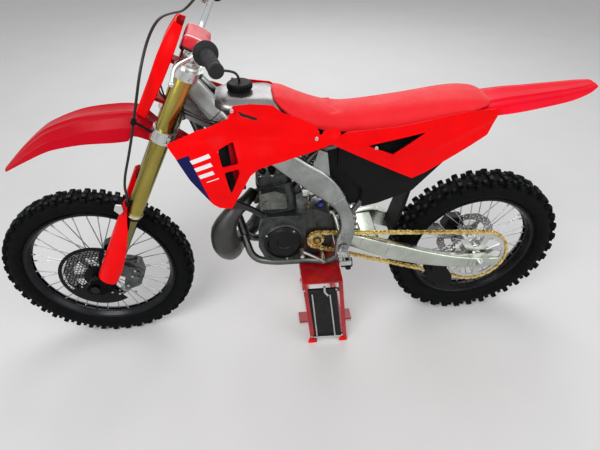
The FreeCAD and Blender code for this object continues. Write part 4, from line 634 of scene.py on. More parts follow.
def tyre_rubber(name, axle, radius):
    """Black rubber with dry dust in patches. The knobs' tops, near the tyre's own radius, are scuffed
    paler."""
    material = plain_finish(name, linear(3, 4, 5), 0.7, second=linear(13, 14, 14), patch=26.0, patch_low=0.5,
                            patch_high=0.85, grain=520.0, grain_height=0.0005, spread=0.12, specular=0.1)
    tree = material.node_tree
    x, _, z = object_axes(tree)
    x, z = x - axle[0] * MM, z - axle[2] * MM
    reach = (x * x + z * z).math("SQRT")
    scuffs = speckle(made(tree, "TexCoord", output="Object"), 60.0, 4.0, 0.6)
    worn = ramped(reach, (radius - 7) * MM, (radius - 1) * MM, 0.0, 0.8) * ramped(scuffs, 0.35, 0.65)
    paint_over(material, worn, linear(74, 76, 78))
    return material


def slider_finish():
    """Smooth gold brown fork slider, black up to the top of the axle lug."""
    material = plain_finish("slider_gold", linear(132, 128, 84), 0.2, 1.0, second=linear(96, 96, 60),
                            patch=8.0, grain=900.0, grain_height=0.00003)
    lug = ramped(steering_axes(material.node_tree)[1], 0.170, 0.172, 1.0, 0.0)
    paint_over(material, lug, linear(14, 14, 17))
    return material


def chipped_paint():
    """The stand's red paint, chipped and scuffed to bare steel and primer in small spots."""
    material = plain_finish("stand_paint", linear(178, 10, 22), 0.34, second=linear(138, 6, 16), patch=14.0,
                            grain=900.0, grain_height=0.0001, spread=0.12, coat=0.1, soft_edge=0.0012)
    tree = material.node_tree
    chips = ramped(speckle(object_place(tree), 55.0, 6.0, 0.7), 0.66, 0.68)
    paint_over(material, chips, linear(150, 138, 132))
    scuffs = ramped(speckle(object_place(tree, (1, 6, 3)), 32.0, 5.0, 0.7), 0.62, 0.72, 0.0, 0.7)
    paint_over(material, scuffs, linear(96, 26, 28))
    return material


def gold_anodised():
    """Gold anodised fork tube: fine turning lines round it, a painted pale highlight on its lower end and a
    painted orange reflection on the rear of its upper part.
    """
    material = plain_finish("gold_anodised", linear(158, 146, 74), 0.27, 1.0, second=linear(140, 126, 58),
                            patch=6.0, grain=900.0, grain_height=0.00003, spread=0.05, anisotropy=0.3)
    back, height = steering_axes(material.node_tree)
    # Painted reflection: an orange band on the rear of the tubes' upper part.
    painted_reflection = band_mask(back, (LEG_BACK + 5) * MM, (LEG_BACK + 19) * MM, 0.006) * ramped(height, 0.70, 0.76)
    paint_over(material, painted_reflection, linear(188, 118, 62))
    # Painted highlight: a pale band round the tubes' lower lip.
    paint_over(material, ramped(height, 0.395, 0.388), linear(196, 190, 150))
    return material


FINISHES = {}
# What the rough castings share
CAST = dict(spread=0.12, soft_edge=0.002, ripple=60.0, ripple_height=0.0012)
# Name, colour, second colour, roughness, metallic, patch scale, grain scale, grain height, what else it has
PLAIN_FINISHES = [
    ("black_plastic", (6, 6, 7), (13, 13, 14), 0.55, 0, 20, 900, 0.00025,
     dict(soft_edge=0.001, specular=0.14)),
    ("frame_alloy", (137, 140, 138), (168, 171, 169), 0.28, 0.95, 11, 420, 0.00012,
     dict(spread=0.1, stretch=(1, 6, 1), soft_edge=0.0016)),
    # The frame's alloy darkened for the cradle and subframe: painted shade.
    ("shaded_cradle_alloy", (84, 88, 85), (112, 116, 112), 0.34, 0.9, 11, 420, 0.00012,
     dict(spread=0.1, soft_edge=0.0016)),
    ("swingarm_alloy", (176, 182, 172), (200, 206, 196), 0.26, 0.95, 9, 500, 0.00008,
     dict(stretch=(0.2, 1, 1), spread=0.1)),
    ("tank_silver", (124, 122, 124), (146, 142, 142), 0.28, 0.88, 8, 600, 0.00008, dict(spread=0.1)),
    ("black_alloy", (16, 17, 21), (26, 27, 31), 0.26, 0.6, 16, 800, 0.00005, dict(soft_edge=0.0008)),
    ("wire_steel", (190, 192, 194), (160, 160, 160), 0.22, 1, 18, 900, 0.00002, {}),
    ("chrome_steel", (190, 192, 196), (176, 178, 182), 0.14, 1, 18, 900, 0.00002,
     dict(spread=0.05, soft_edge=0.0006)),
    ("engine_alloy", (72, 75, 73), (40, 43, 43), 0.42, 0.75, 24, 420, 0.0005, CAST),
    ("jacket_alloy", (112, 114, 108), (66, 70, 68), 0.4, 0.8, 26, 420, 0.0005, CAST),
    ("black_cover", (7, 8, 8), (14, 15, 15), 0.4, 0.1, 20, 700, 0.0002,
     dict(soft_edge=0.0014, specular=0.22)),
    ("pipe_steel", (66, 68, 68), (84, 82, 78), 0.4, 0.9, 10, 500, 0.0001,
     dict(spread=0.12, stretch=(1, 1, 3))),
    ("bright_alloy", (206, 206, 204), (188, 188, 186), 0.26, 0.95, 14, 700, 0.00006, dict(soft_edge=0.0012)),
    ("magnesium", (96, 98, 97), (62, 64, 64), 0.4, 0.8, 30, 600, 0.0003, dict(spread=0.1, soft_edge=0.0012)),
    ("chain_gold", (236, 212, 142), (156, 130, 74), 0.34, 0.9, 60, 900, 0.00008, dict(spread=0.1)),
    ("disc_steel", (150, 150, 152), (120, 120, 122), 0.26, 1, 20, 900, 0.00004, dict(anisotropy=0.3)),
    ("rubber_black", (12, 12, 13), (24, 24, 25), 0.6, 0, 30, 800, 0.00015, dict(specular=0.35)),
    ("hose_rubber", (7, 7, 8), (14, 14, 15), 0.34, 0, 40, 900, 0.00008, dict(specular=0.45)),
    ("blue_anodised", (70, 74, 170), (50, 54, 140), 0.3, 0.8, 40, 900, 0.00003, {}),
    ("brass", (172, 142, 66), (120, 96, 46), 0.34, 0.9, 40, 900, 0.00005, {}),
    ("shade_steel", (30, 30, 32), (16, 16, 18), 0.5, 0.6, 40, 800, 0.0002, {}),
]


def make_finishes(settings):
    """Every finish of the bike, by its own plain name."""
    for name, colour, second, roughness, metallic, patch, grain, rise, more in PLAIN_FINISHES:
        FINISHES[name] = plain_finish(name, linear(*colour), roughness, metallic, second=linear(*second),
                                      patch=patch, grain=grain, grain_height=rise, **more)
    FINISHES.update({
        "red_plastic": red_plastic("red_plastic", tuple(settings.plastic_colour) + (1.0,)),
        # The front fender's red is darker and bluer than the shrouds': painted shade and a painted sky
        # reflection.
        "shaded_fender_plastic": red_plastic("shaded_fender_plastic", linear(196, 2, 28), 0.1),
        # The rear fender's red is pinker than the shrouds': a painted sky reflection.
        "sky_sheen_tail_plastic": red_plastic("sky_sheen_tail_plastic", linear(246, 6, 40)),
        # The louvres' red is darkened: painted shade of the shroud plastic inside the vents.
        "painted_shade_plastic": red_plastic("painted_shade_plastic", linear(142, 4, 16), 0.06),
        "front_rubber": tyre_rubber("front_rubber", FRONT_AXLE, FRONT_RADIUS),
        "rear_rubber": tyre_rubber("rear_rubber", REAR_AXLE, REAR_RADIUS),
        "shroud_plastic": shroud_plastic(), "seat_cover": seat_cover_finish(),
        "pad_cover": pad_cover_finish(), "gold_alloy": gold_anodised(), "slider_gold": slider_finish(),
        "stand_red": chipped_paint()})


# Pieces into blender

def placed(name, data):
    """A new object of the scene that holds a mesh, a lamp or a camera."""
    item = bpy.data.objects.new(name, data)
    bpy.context.scene.collection.objects.link(item)
    return item


def add_piece(name, shape, finish, body="chassis", replaces=None, sharp=38.0, bevel=0.0):
    """A shape as a finished piece: doubles merged, normals outwards, smooth but for its sharp edges, riding
    on its body if it has one. Its material is the finish."""
    mesh = bpy.data.meshes.new(name)
    mesh.from_pydata(shape.points.tolist(), [], [face for block in shape.faces for face in block.tolist()])
    work = bmesh.new()
    work.from_mesh(mesh)
    bmesh.ops.remove_doubles(work, verts=work.verts, dist=2e-6)
    flat = [face for face in work.faces if face.calc_area() < 1e-13]
    bmesh.ops.delete(work, geom=flat, context="FACES_ONLY")
    bmesh.ops.recalc_face_normals(work, faces=work.faces)
    work.to_mesh(mesh)
    work.free()
    mesh.shade_smooth()
    mesh.set_sharp_from_angle(angle=math.radians(sharp))
    mesh.materials.append(FINISHES[finish])
    piece = placed(name, mesh)
    if bevel:
        soft = piece.modifiers.new("soft edge", "BEVEL")
        soft.width, soft.segments, soft.limit_method, soft.angle_limit = bevel, 2, "ANGLE", math.radians(50)
        soft.harden_normals = True
    if body:
        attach(piece, body)
    if replaces:
        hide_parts(replaces)
    return piece


# Wheels

def knob(length, width, height):
    """A tread knob: a tapered block, its top edges chamfered. Its foot is sunk into the casing."""
    corners = np.array([(-length, -width), (length, -width), (length, width), (-length, width)], float)
    rings = [np.column_stack([corners * share, np.full(4, level * height)])
             for share, level in ((0.56, -0.35), (0.50, 0.80), (0.42, 1.0))]
    return Shape(mm(rings), [np.vstack([grid_faces(3, 4, False, True), [[3, 2, 1, 0], [8, 9, 10, 11]]])])


def tyre(centre, radius, width, rim_radius, rim_width, pitches, height, rows):
    """A casing turned from a smooth ring of corners, and rows of knobs round it. Each row is (lean from the
    crown in degrees, length, width, height share, offset in pitches) and stands on both sides. A knob's foot
    lies on the casing's crown, a circle through its middle and its shoulder."""
    half, depth, top = width / 2, radius - rim_radius, radius - height
    seat = rim_width / 2 - 2.9
    side = [(rim_radius - 6, seat * 0.9), (rim_radius + 3, seat), (rim_radius + 0.14 * depth, half * 0.78),
            (rim_radius + 0.34 * depth, half * 0.93), (rim_radius + 0.56 * depth, half * 0.95),
            (top - 0.14 * depth, half * 0.82), (top - 0.01 * depth, half * 0.52), (top + 1, half * 0.16)]
    corners = np.array(side + [(r, -y) for r, y in reversed(side)], float)
    pieces = [turned_at(closed_ring(corners, 4), centre, (0, 1, 0), 160)]
    for lean, length, across, share, offset in rows:
        angle = math.radians(lean)
        foot_y = (half - 3 - height * share * math.sin(angle) * 0.9) * min(1.0, math.sin(angle) * 1.36)
        foot_r = radius - height * share * math.cos(angle) - depth * 0.30 * (1 - math.cos(angle * 1.15))
        turns = (np.arange(pitches) + offset) * TURN / pitches
        out, along = upright(polar(turns), 0.0), upright(polar(turns + TURN / 4), 0.0)
        for sign in (1, -1):
            axle = np.broadcast_to((0.0, sign, 0.0), out.shape)
            up = out * math.cos(angle) + axle * math.sin(angle)
            frames = np.stack([along, np.cross(up, along), up], 2)
            feet = mm(out * foot_r + axle * foot_y + np.asarray(centre))
            pieces.append(repeated(knob(length, across, height * share), frames, feet))
    return together(pieces)


def rim(centre, rim_radius, rim_width):
    """A deep channel rim: upright hooked flanges, a stepped wall and a drop centre, turned about the axle."""
    half, inner = rim_width / 2, rim_radius - RIM_DEPTH
    outside = [(rim_radius, half), (rim_radius + 0.6, half - 1.3), (rim_radius, half - 2.6),
               (rim_radius - 8, half - 2.6), (rim_radius - 9.5, half - 6), (rim_radius - 10, half * 0.5),
               (rim_radius - 17, half * 0.36)]
    well = [(inner, half * 0.34), (inner + 3, half * 0.55), (rim_radius - 13, half * 0.86),
            (rim_radius - 11, half - 0.4), (rim_radius - 6, half)]
    profile = outside + [(r, -y) for r, y in outside[::-1]] + [(r, -y) for r, y in well] + well[::-1]
    return turned_at(profile, centre, (0, 1, 0), 160)


def nipples(centre, rim_inner, count=36):
    """Spoke nipples: small tapered sleeves where each spoke meets the rim."""
    sleeve = lathe(mm([(0, 0), (3.4, 0), (3.4, 5), (2.6, 15), (0, 15)]), 8, wrap=False)
    index = np.arange(count)
    at_rim = TURN * index / count
    side = np.where(index % 2 == 1, 1.0, -1.0)
    way = np.where((index // 2) % 2 == 1, 1.0, -1.0)
    out = polar(at_rim)
    lean_in = unit(upright(way[:, None] * 0.16 * polar(at_rim + TURN / 4) - out, side * 0.11))
    turns = np.stack([basis(direction) for direction in lean_in])
    return repeated(sleeve, turns, mm(upright(out * (rim_inner + 1.0), side * 4) + np.asarray(centre)))


def brake_disc(centre, y, radius, carrier, arms):
    """A drilled disc with a waved edge, six windows between its arms and rows of small holes, all trimmed
    from one flat grid and given its thickness."""
    turn = np.linspace(0, TURN, 144, endpoint=False)
    outline = polar(turn) * (radius * (1 - 0.012 * (1 + np.cos(turn * arms * 2))))[:, None]
    inner, outer = carrier + 6, radius * 0.73
    spread = np.linspace(-1, 1, 9)
    holes = []
    for arm in range(arms):
        middle, reach = TURN * (arm + 0.5) / arms, TURN / arms / 2
        holes.append(np.vstack([outer * polar(middle + spread * reach * 0.80),
                                inner * polar(middle - spread * reach * 0.62)]))
    for share, radius_share in ((0.0, 0.80), (0.5, 0.865), (0.0, 0.93)):
        places = radius * radius_share * polar(TURN * (np.arange(24) + share) / 24)
        holes += [circle(10) * 3.2 + place for place in places]
    holes.append(circle(40) * (carrier - 14))
    flat, faces = trimmed(outline, holes, 9.0)
    wall = thickened(Shape(mm(upright(flat, y - 1.5) + np.asarray(centre)), [faces]), 0.0)
    wall.points[len(flat):, 1] = (y + 1.5) * MM
    sign = math.copysign(1, y)
    bolts = around(centre, carrier - 6, arms, y=y + sign * 1.5)
    return together([wall, screws(bolts, (0, sign, 0), 5.5, 3.5)])


# Drive chain

def chain_line():
    """The middle line of the chain in the side view: tangent runs above and below, and an arc round each
    wheel. Returns its points and how far along each is."""
    small, large = (CHAIN_PITCH / (2 * math.sin(math.pi / teeth)) for teeth in (FRONT_TEETH, REAR_TEETH))
    start, end = (np.array((x, z), float) for x, _, z in (COUNTERSHAFT, REAR_AXLE))
    line = math.atan2(end[1] - start[1], end[0] - start[0])
    lean = math.asin((large - small) / np.linalg.norm(end - start))
    up, down = line + TURN / 4 + lean, line - TURN / 4 - lean
    ring = np.vstack([end + large * polar(np.linspace(up, down, 120)),
                      start + small * polar(np.linspace(down, up - TURN, 60))])
    steps = np.linalg.norm(np.roll(ring, -1, axis=0) - ring, axis=1)
    return ring, np.concatenate([[0], np.cumsum(steps)])


def chain_shape():
    """Links laid round the line: pins a pitch apart, an outer and an inner pair of waisted plates in turn,
    and a roller on each pin."""
    ring, along = chain_line()
    count = 2 * round(along[-1] / CHAIN_PITCH / 2)
    at = np.linspace(0, along[-1], count, endpoint=False)
    closed = np.vstack([ring, ring[:1]])
    pins = np.stack([np.interp(at, along, closed[:, axis]) for axis in (0, 1)], 1)
    following = np.roll(pins, -1, axis=0)
    middle, forward = (pins + following) / 2, unit(following - pins)
    across, up = circle(16).T
    outline = np.stack([7.6 * np.sign(across) * np.abs(across) ** 0.8 + 6.6 * across,
                        (6.6 - 1.5 * hump(across, 0.5)) * up], 1)
    links = []
    for first, gap in ((0, 6.1), (1, 4.0)):
        ahead = forward[first::2]
        square = np.stack([-ahead[:, 1], ahead[:, 0]], 1)
        frames = np.stack([upright(ahead, 0.0), np.broadcast_to((0.0, 1.0, 0.0), (len(ahead), 3)),
                           upright(square, 0.0)], 2)
        for side in (-1, 1):
            rings = np.stack([upright(outline, side * gap), upright(outline, side * (gap + 1.6))])
            plate = gridded(mm(rings), wrap_columns=True, capped=True)
            links.append(repeated(plate, frames, mm(upright(middle[first::2], -CHAIN_LINE))))
    pin = [(0, -7.9), (2.4, -7.9), (2.4, -3.9), (4.3, -3.9), (4.3, 3.9), (2.4, 3.9), (2.4, 7.9), (0, 7.9)]
    pin = lathe(mm(pin), 10, wrap=False).moved(basis((0, 1, 0)))
    links.append(repeated(pin, [np.eye(3)] * count, mm(upright(pins, -CHAIN_LINE))))
    return together(links)


# Frame and swingarm

# x, y, z, slope in degrees, height, width
SPAR = [(-301, 25, 1083, -52, 66, 26), (-255, 33, 1027, -52, 64, 28), (-190, 68, 955, -42, 60, 32),
        (-78, 98, 888, -37, 68, 32), (24, 106, 808, -39, 80, 32), (82, 108, 764, -40, 86, 32),
        (134, 108, 711, -50, 72, 32), (168, 107, 660, -62, 52, 32), (190, 105, 609, -74, 50, 32),
        (198, 103, 553, -88, 52, 32), (190, 102, 500, -98, 60, 30), (174, 100, 412, -100, 44, 28)]
SWINGARM_BEAM = [(186, 66, 470, -7, 56, 32), (234, 67, 463, -9, 58, 32), (336, 104, 446, -16, 68, 32),
                 (400, 104, 421, -18, 74, 32), (520, 104, 382, -16, 66, 32), (640, 104, 354, -8, 54, 32),
                 (743, 104, 342, -2, 48, 32), (813, 104, 341, 0, 42, 32)]


def beam(table, per=6, power=3.4, sides=36, waist=0.0):
    """A bar of rounded oblong section through a table of stations. The section is a superellipse: both
    coordinates are raised to two over the power. A waist presses its outer flank in along the middle."""
    across, up = squared(np.linspace(0, TURN, sides, endpoint=False), 2 / power).T
    x, y, z, slope, height, width = through(table, per).T[..., None]
    tilt, rise = np.radians(slope), height / 2 * up
    out = width / 2 * across * (1 - waist * hump(up, 0.35))
    points = np.stack([x - np.sin(tilt) * rise, y + out, z + np.cos(tilt) * rise], -1)
    return gridded(mm(points), wrap_columns=True, capped=True)


def weld(table_row, radius=1.7):
    """A weld bead: a thin round bar along a station's own section."""
    x, y, z, slope, height, width = table_row
    across, up = squared(np.linspace(0, TURN, 41), 0.4).T
    tilt, rise = math.radians(slope), height / 2 * up
    line = mm(np.stack([x - math.sin(tilt) * rise, y + width / 2 * across, z + math.cos(tilt) * rise], 1))
    ripple = radius * MM * (1 + 0.18 * np.cos(np.arange(len(line)) * math.pi))
    return round_tube(line, ripple, 8)


def frame_shape():
    """Both spars with their welds and edge ribs, the steering head, the cross bar and the pivot bolt."""
    rows = through(SPAR, 4)
    right = together([beam(SPAR, waist=0.10), *(weld(rows[station]) for station in (6, 26, 38)),
                      box((150, 84, 604), (214, 100, 612), 2),
                      screws([(186, 118, 470)], (0, 1, 0), 17, 6, hex_head)])
    foot, top = steered([(0, 0, 729), (0, 0, 890)])
    length = np.linalg.norm(top - foot) / MM
    head = lathe(mm([(14.3, 0), (31, 0), (31, 14), (28, 18), (28, length - 18), (31, length - 14),
                     (31, length), (14.3, length)]), 48).moved(basis(top - foot), foot)
    return together([right.both(), head, rod([(182, -96, 640), (182, 96, 640)], 18, 24),
                     rod([(186, -122, 470), (186, 122, 470)], 12, 24)])


def swingarm_shape():
    """Both tapering beams with their axle blocks and welds, the pivot barrel and the bridge."""
    rows = through(SWINGARM_BEAM, 4)
    right = together([beam(SWINGARM_BEAM, per=8, power=6.0, waist=0.06),
                      *(weld(rows[station], 1.5) for station in (9, 22)),
                      box((712, 87, 318), (776, 121, 365), 8),
                      screws([(812, 104, 341)], (1, 0, 0), 8, 5, hex_head),
                      rod([(790, 104, 341), (822, 104, 341)], 4.5)])
    barrel = turned_at([(12.3, -82), (27, -82), (27, 82), (12.3, 82)], (186, 0, 470), (0, 1, 0), 40)
    bridge = prism([(258, 440, 12), (330, 420, 12), (330, 474, 12), (258, 486, 12)], -94, 94)
    knuckle = prism([(186, 452, 0), (262, 444, 4), (262, 480, 4), (186, 488, 0)], -26, 26)
    return together([right.both(), barrel, bridge, knuckle])


# Panels

SHROUD = [(-372, [(226, 735), (228, 880), (226, 950), (218, 1000), (200, 1062)]),
          (-255, [(208, 735), (216, 880), (202, 960), (172, 1008), (132, 1062)]),
          (-190, [(196, 735), (204, 880), (176, 955), (122, 1005), (96, 1050)]),
          (-115, [(178, 735), (186, 880), (158, 950), (114, 1002), (88, 1050)]),
          (-30, [(152, 735), (160, 880), (138, 945), (108, 985), (90, 1032)]),
          (145, [(134, 735), (138, 880), (130, 925), (112, 958), (96, 992)])]
SHROUD_OUTLINE = [
    (-358, 985, 8), (-339, 945, 10), (-308, 868, 0), (-253, 768, 8), (-235, 750, 6), (-198, 738, 10),
    (-133, 852, 12), (-108, 870, 10), (-36, 876, 0), (66, 900, 0), (118, 915, 3), (150, 936, 3),
    (146, 956, 3), (96, 954, 3), (90, 945, 3), (82, 946, 3), (76, 966, 0), (22, 990, 0), (-27, 1008, 8),
    (-55, 1030, 6), (-120, 1038, 0), (-172, 1036, 8), (-190, 1006, 6), (-273, 1006, 0)]
VENTS = [[(-221, 948, 6), (-176, 960, 6), (-164, 900, 6), (-212, 896, 6)],
         [(-208, 880, 6), (-166, 884, 6), (-164, 868, 6), (-195, 792, 6)]]
SHROUD_SLOT = [(-160, 1021, 2), (-104, 1002, 2), (-101, 994, 2), (-150, 1009, 2)]
SIDE_PANEL = [(x, [(y, 700), (y + 4, 860), (y, 930), (y - 8, 1010)])
              for x, y in ((110, 128), (250, 130), (400, 126), (560, 112), (670, 96))]
PANEL_OUTLINE = [(112, 916, 5), (396, 768, 10), (440, 788, 0), (630, 905, 10), (660, 990, 14), (539, 990, 0),
                 (330, 960, 0), (165, 950, 6)]
PANEL_HOLE = [(230, 903, 4), (422, 938, 4), (318, 867, 5)]
# The right one is cut off along the top of the silencer
RIGHT_OUTLINE = [(112, 916, 5), (300, 852, 6), (352, 846, 6), (615, 898, 4), (632, 908, 6), (660, 986, 14),
                 (539, 976, 0), (330, 938, 0), (165, 928, 6)]


class CurledSlab:
    """How far out a panel lies at a place in the side view: cubic lines through its table's stations along
    the bike, then straight between its heights, read from a fine grid."""

    def __init__(self, table):
        stations = np.array([[(x, out, height) for out, height in rows] for x, rows in table], float)
        fine = through(stations, 10)
        self.x = fine[:, 0, 0]
        self.z = np.linspace(stations[..., 2].min(), stations[..., 2].max(), 120)
        columns = [np.interp(self.z, np.sort(through(row, 8)[:, 2]), through(row, 8)[:, 1]) for row in fine]
        self.out = np.array(columns)

    def __call__(self, flat):
        column = np.clip(np.interp(flat[:, 0], self.x, np.arange(len(self.x))), 0, len(self.x) - 1.001)
        row = np.clip((flat[:, 1] - self.z[0]) / (self.z[1] - self.z[0]), 0, len(self.z) - 1.001)
        i, j = column.astype(int), row.astype(int)
        u, v = column - i, row - j
        out = self.out
        return ((1 - u) * (1 - v) * out[i, j] + u * (1 - v) * out[i + 1, j] + (1 - u) * v * out[i, j + 1]
                + u * v * out[i + 1, j + 1])


def distance_to(flat, line, closed=False):
    """How far points of the side view are from a line of straight runs, which may close on itself."""
    line = np.asarray(line, float)
    line = np.vstack([line, line[:1]]) if closed else line
    a, run = line[:-1], np.diff(line, axis=0)
    share = np.clip(np.einsum("nkj,kj->nk", flat[:, None] - a, run) / np.sum(run ** 2, axis=1), 0, 1)
    return np.linalg.norm(flat[:, None] - (a + share[..., None] * run), axis=2).min(axis=1)


def panel(outline, holes, out, thickness, spacing=7.0):
    """A moulded panel of the left side: a grid trimmed to its outline, lifted out sideways by a function of
    the side view, and given its wall."""
    flat, faces = trimmed(rounded_outline(outline), [rounded_outline(hole) for hole in holes], spacing)
    return thickened(Shape(mm(upright(flat, -out(flat))), [faces]), thickness * MM)


SHROUD_CREASE = [(-330, 962), (-215, 985), (-150, 968), (20, 928), (120, 936)]


def shroud_shape():
    """The tank shrouds: the curled slab, with a soft crease that runs back from over the vents, raised lips
    round the vents and a narrow slot near the tank."""
    slab = CurledSlab(SHROUD)
    lips = [rounded_outline(vent) for vent in VENTS]

    def out(flat):
        lip = sum(hump(distance_to(flat, ring, True), 7.0) for ring in lips)
        crease = hump(distance_to(flat, SHROUD_CREASE), 13.0)
        above = gate(flat[:, 1] - 900 + 0.12 * flat[:, 0], 12.0)
        return slab(flat) + 2.2 * lip + 3.4 * crease - 0.6 * above

    return panel(SHROUD_OUTLINE, VENTS + [SHROUD_SLOT], out, 3.6, 6.0).both()


def vent_shade_sheets():
    """Dark sheets behind the shrouds' vents, well inside the shroud, that cover both openings: painted shade
    in the space behind them.
    """
    slab = CurledSlab(SHROUD)
    outline = [(-222, 966, 4), (-152, 972, 4), (-150, 782, 4), (-196, 782, 4), (-222, 880, 4)]
    return panel(outline, [], lambda flat: slab(flat) - 34.0, 2.0, 9.0).both()


def vent_louvres():
    """Red blades over the rear half of the shrouds' vents, a little way in behind their lips."""
    slab = CurledSlab(SHROUD)
    outlines = [[(-193, 962, 2), (-168, 968, 2), (-154, 896, 2), (-186, 892, 2)],
                [(-186, 888, 2), (-158, 888, 2), (-156, 866, 2), (-178, 812, 2)]]

    def out(flat):
        return slab(flat) - 13.0 - 0.18 * (flat[:, 0] + 190)

    return together(panel(outline, [], out, 2.0) for outline in outlines).both()


PANEL_CREASE = [(180, 906), (330, 852), (440, 872), (640, 960)]


def side_panel_shape():
    """The side panels: a slab with a pressed crease from the opening to the rear corner, sunk a little below
    it, and a raised border round the three-cornered opening."""
    slab = CurledSlab(SIDE_PANEL)
    hole = rounded_outline(PANEL_HOLE)

    def out(flat):
        crease = hump(distance_to(flat, PANEL_CREASE), 8.0)
        border = hump(distance_to(flat, hole, True), 6.0)
        below = gate(np.interp(flat[:, 0], *np.transpose(PANEL_CREASE)) - flat[:, 1], 7.0)
        return slab(flat) + 2.4 * crease + 2.0 * border - 3.0 * below

    left, right = (panel(outline, [PANEL_HOLE], out, 3.6, 6.5) for outline in (PANEL_OUTLINE, RIGHT_OUTLINE))
    return together([left, right.mirrored()])


AIRBOX_SIDE = [(240, 646, 12), (300, 660, 12), (412, 705, 20), (524, 842, 14), (548, 905, 0), (430, 884, 0),
               (160, 880, 0), (156, 816, 8), (240, 724, 10)]


def airbox_side_shape():
    """Skins over the airbox's flanks with a slanted seam rib, a shallow field behind it and a round boss."""
    ring = rounded_outline(AIRBOX_SIDE)

    def out(flat):
        seam = hump(distance_to(flat, [(292, 668), (352, 790), (372, 880)]), 3.0)
        boss = np.exp(-((np.hypot(flat[:, 0] - 424, flat[:, 1] - 790) / 13.0) ** 6))
        field = gate(flat[:, 0] - 355 - (flat[:, 1] - 790) * 0.4, 6.0)
        edge = hump(distance_to(flat, ring, True), 8.0)
        return 103.5 + 1.6 * seam + 2.0 * boss - 1.2 * field - 1.6 * edge

    return panel(AIRBOX_SIDE, [], out, 2.6).both()


# Fenders: along x and z, slope in degrees, half width, drop
REAR_FENDER = [(500, 958, 14, 62, 14), (600, 984, 12, 86, 24), (700, 1000, 6, 88, 32), (800, 1008, 4, 78, 30),
               (900, 1016, 6, 66, 24), (965, 1022, 8, 50, 14), (1002, 1026, 12, 30, 6)]
FRONT_FENDER = [(-436, 326, 70, 20, 8), (-401, 418, 66, 52, 28), (-361, 503, 60, 74, 44),
                (-328, 551, 50, 84, 52), (-265, 613, 41, 92, 62), (-188, 665, 32, 92, 70),
                (-134, 693, 20, 86, 70), (-98, 700, -6, 78, 60), (-68, 688, -20, 70, 46),
                (-34, 677, -8, 64, 34), (50, 665, -12, 58, 24), (107, 643, -24, 52, 16)]


def fender_surface(table, profile, per=7, sides=40):
    """A fender's outer surface: its crown line runs through the table, and across it a profile of (share of
    the half width, share of the drop) falls away to both edges."""
    x, z, slope, half, drop = through(table, per).T[..., None]
    share = np.linspace(-1, 1, sides)
    down = drop * np.interp(np.abs(share), *np.transpose(profile))
    tilt = np.radians(slope)
    return np.stack([x + np.sin(tilt) * down, half * share, z - np.cos(tilt) * down], -1)


def fender_sheet(points, thickness):
    return thickened(facing(gridded(points), (0, 0, 1)), thickness * MM)


FRONT_PROFILE = [(0, 0.05), (0.20, 0.03), (0.30, 0.0), (0.36, 0.10), (0.52, 0.16), (0.60, 0.13), (0.66, 0.24),
                 (0.84, 0.52), (0.90, 0.52), (1, 1)]
REAR_PROFILE = [(0, 0.06), (0.30, 0.02), (0.42, 0.0), (0.52, 0.14), (0.74, 0.24), (0.82, 0.34), (1, 1)]


def front_fender_shape():
    points = fender_surface(FRONT_FENDER, FRONT_PROFILE, 8, 61)
    mount = box((-40, -30, 665), (24, 30, 683.7), 3)
    return together([fender_sheet(steered(points), 3.6), mount.leaned()])


def rear_fender_shape():
    return fender_sheet(mm(fender_surface(REAR_FENDER, REAR_PROFILE, 9, 57)), 3.6)


# Number plate: height, middle, edge, half width, in the steering frame
PLATE = [(716, -112, -84, 76), (760, -112, -80, 92), (840, -110, -73, 104), (920, -109, -69, 104),
         (975, -100, -68, 80), (1004, -92, -68, 50)]


def front_plate_shape():
    """The plate: its middle line and edges run through the table, with a pressed field and a raised
    border."""
    height, middle, edge, half = through(PLATE, 8).T[..., None]
    share = np.linspace(-1, 1, 49)
    reach = np.abs(share)
    bow = np.interp(reach, [0, 0.30, 0.72, 0.80, 1.0], [1.0, 0.98, 0.86, 0.66, 0.0])
    up = np.linspace(0, 1, len(height))[:, None]
    field = gate(0.62 - reach, 0.02) * gate(up - 0.16, 0.02) * gate(0.84 - up, 0.02)
    x = edge + (middle - edge) * bow + 1.8 * field - 5.0 * hump(reach - 0.76, 0.1)
    sheet = gridded(steered(np.stack([x, half * share, np.broadcast_to(height, x.shape)], -1)))
    stays = together(box((start, -20, z - 6), (LEG_BACK - 14, 20, z + 6), 2)
                     for z, start in ((760, -106), (890, -103)))
    return together([thickened(facing(sheet, (-1, 0, 0)), 3.2 * MM), stays.leaned()])


# Tank, seat, pads

TANK = [(-226, [(30, 1004), (52, 1006), (58, 1026), (44, 1036), (20, 1038)]),
        (-190, [(42, 985), (74, 1000), (84, 1020), (60, 1040), (24, 1043)]),
        (-110, [(60, 950), (90, 975), (93, 1010), (70, 1038), (26, 1042)]),
        (-50, [(70, 930), (92, 955), (92, 1000), (70, 1030), (26, 1036)]),
        (0, [(76, 915), (90, 935), (86, 965), (66, 985), (26, 992)]),
        (90, [(60, 890), (74, 905), (66, 925), (52, 940), (26, 945)])]
SEAT = [(-52, [(50, 1034), (64, 1036), (58, 1040), (44, 1043), (16, 1046)]),
        (-20, [(72, 1000), (84, 1004), (76, 1022), (52, 1034), (18, 1038)]),
        (25, [(84, 968), (96, 976), (82, 1000), (54, 1012), (18, 1014)]),
        (110, [(78, 928), (88, 944), (76, 972), (52, 984), (18, 986)]),
        (190, [(78, 922), (86, 936), (74, 966), (52, 976), (18, 978)]),
        (355, [(84, 930), (92, 946), (80, 978), (56, 990), (18, 992)]),
        (520, [(88, 962), (94, 974), (82, 1000), (58, 1010), (18, 1012)]),
        (600, [(78, 982), (84, 990), (72, 1004), (52, 1009), (18, 1011)]),
        (636, [(52, 990), (60, 992), (54, 998), (40, 1001), (16, 1002)])]


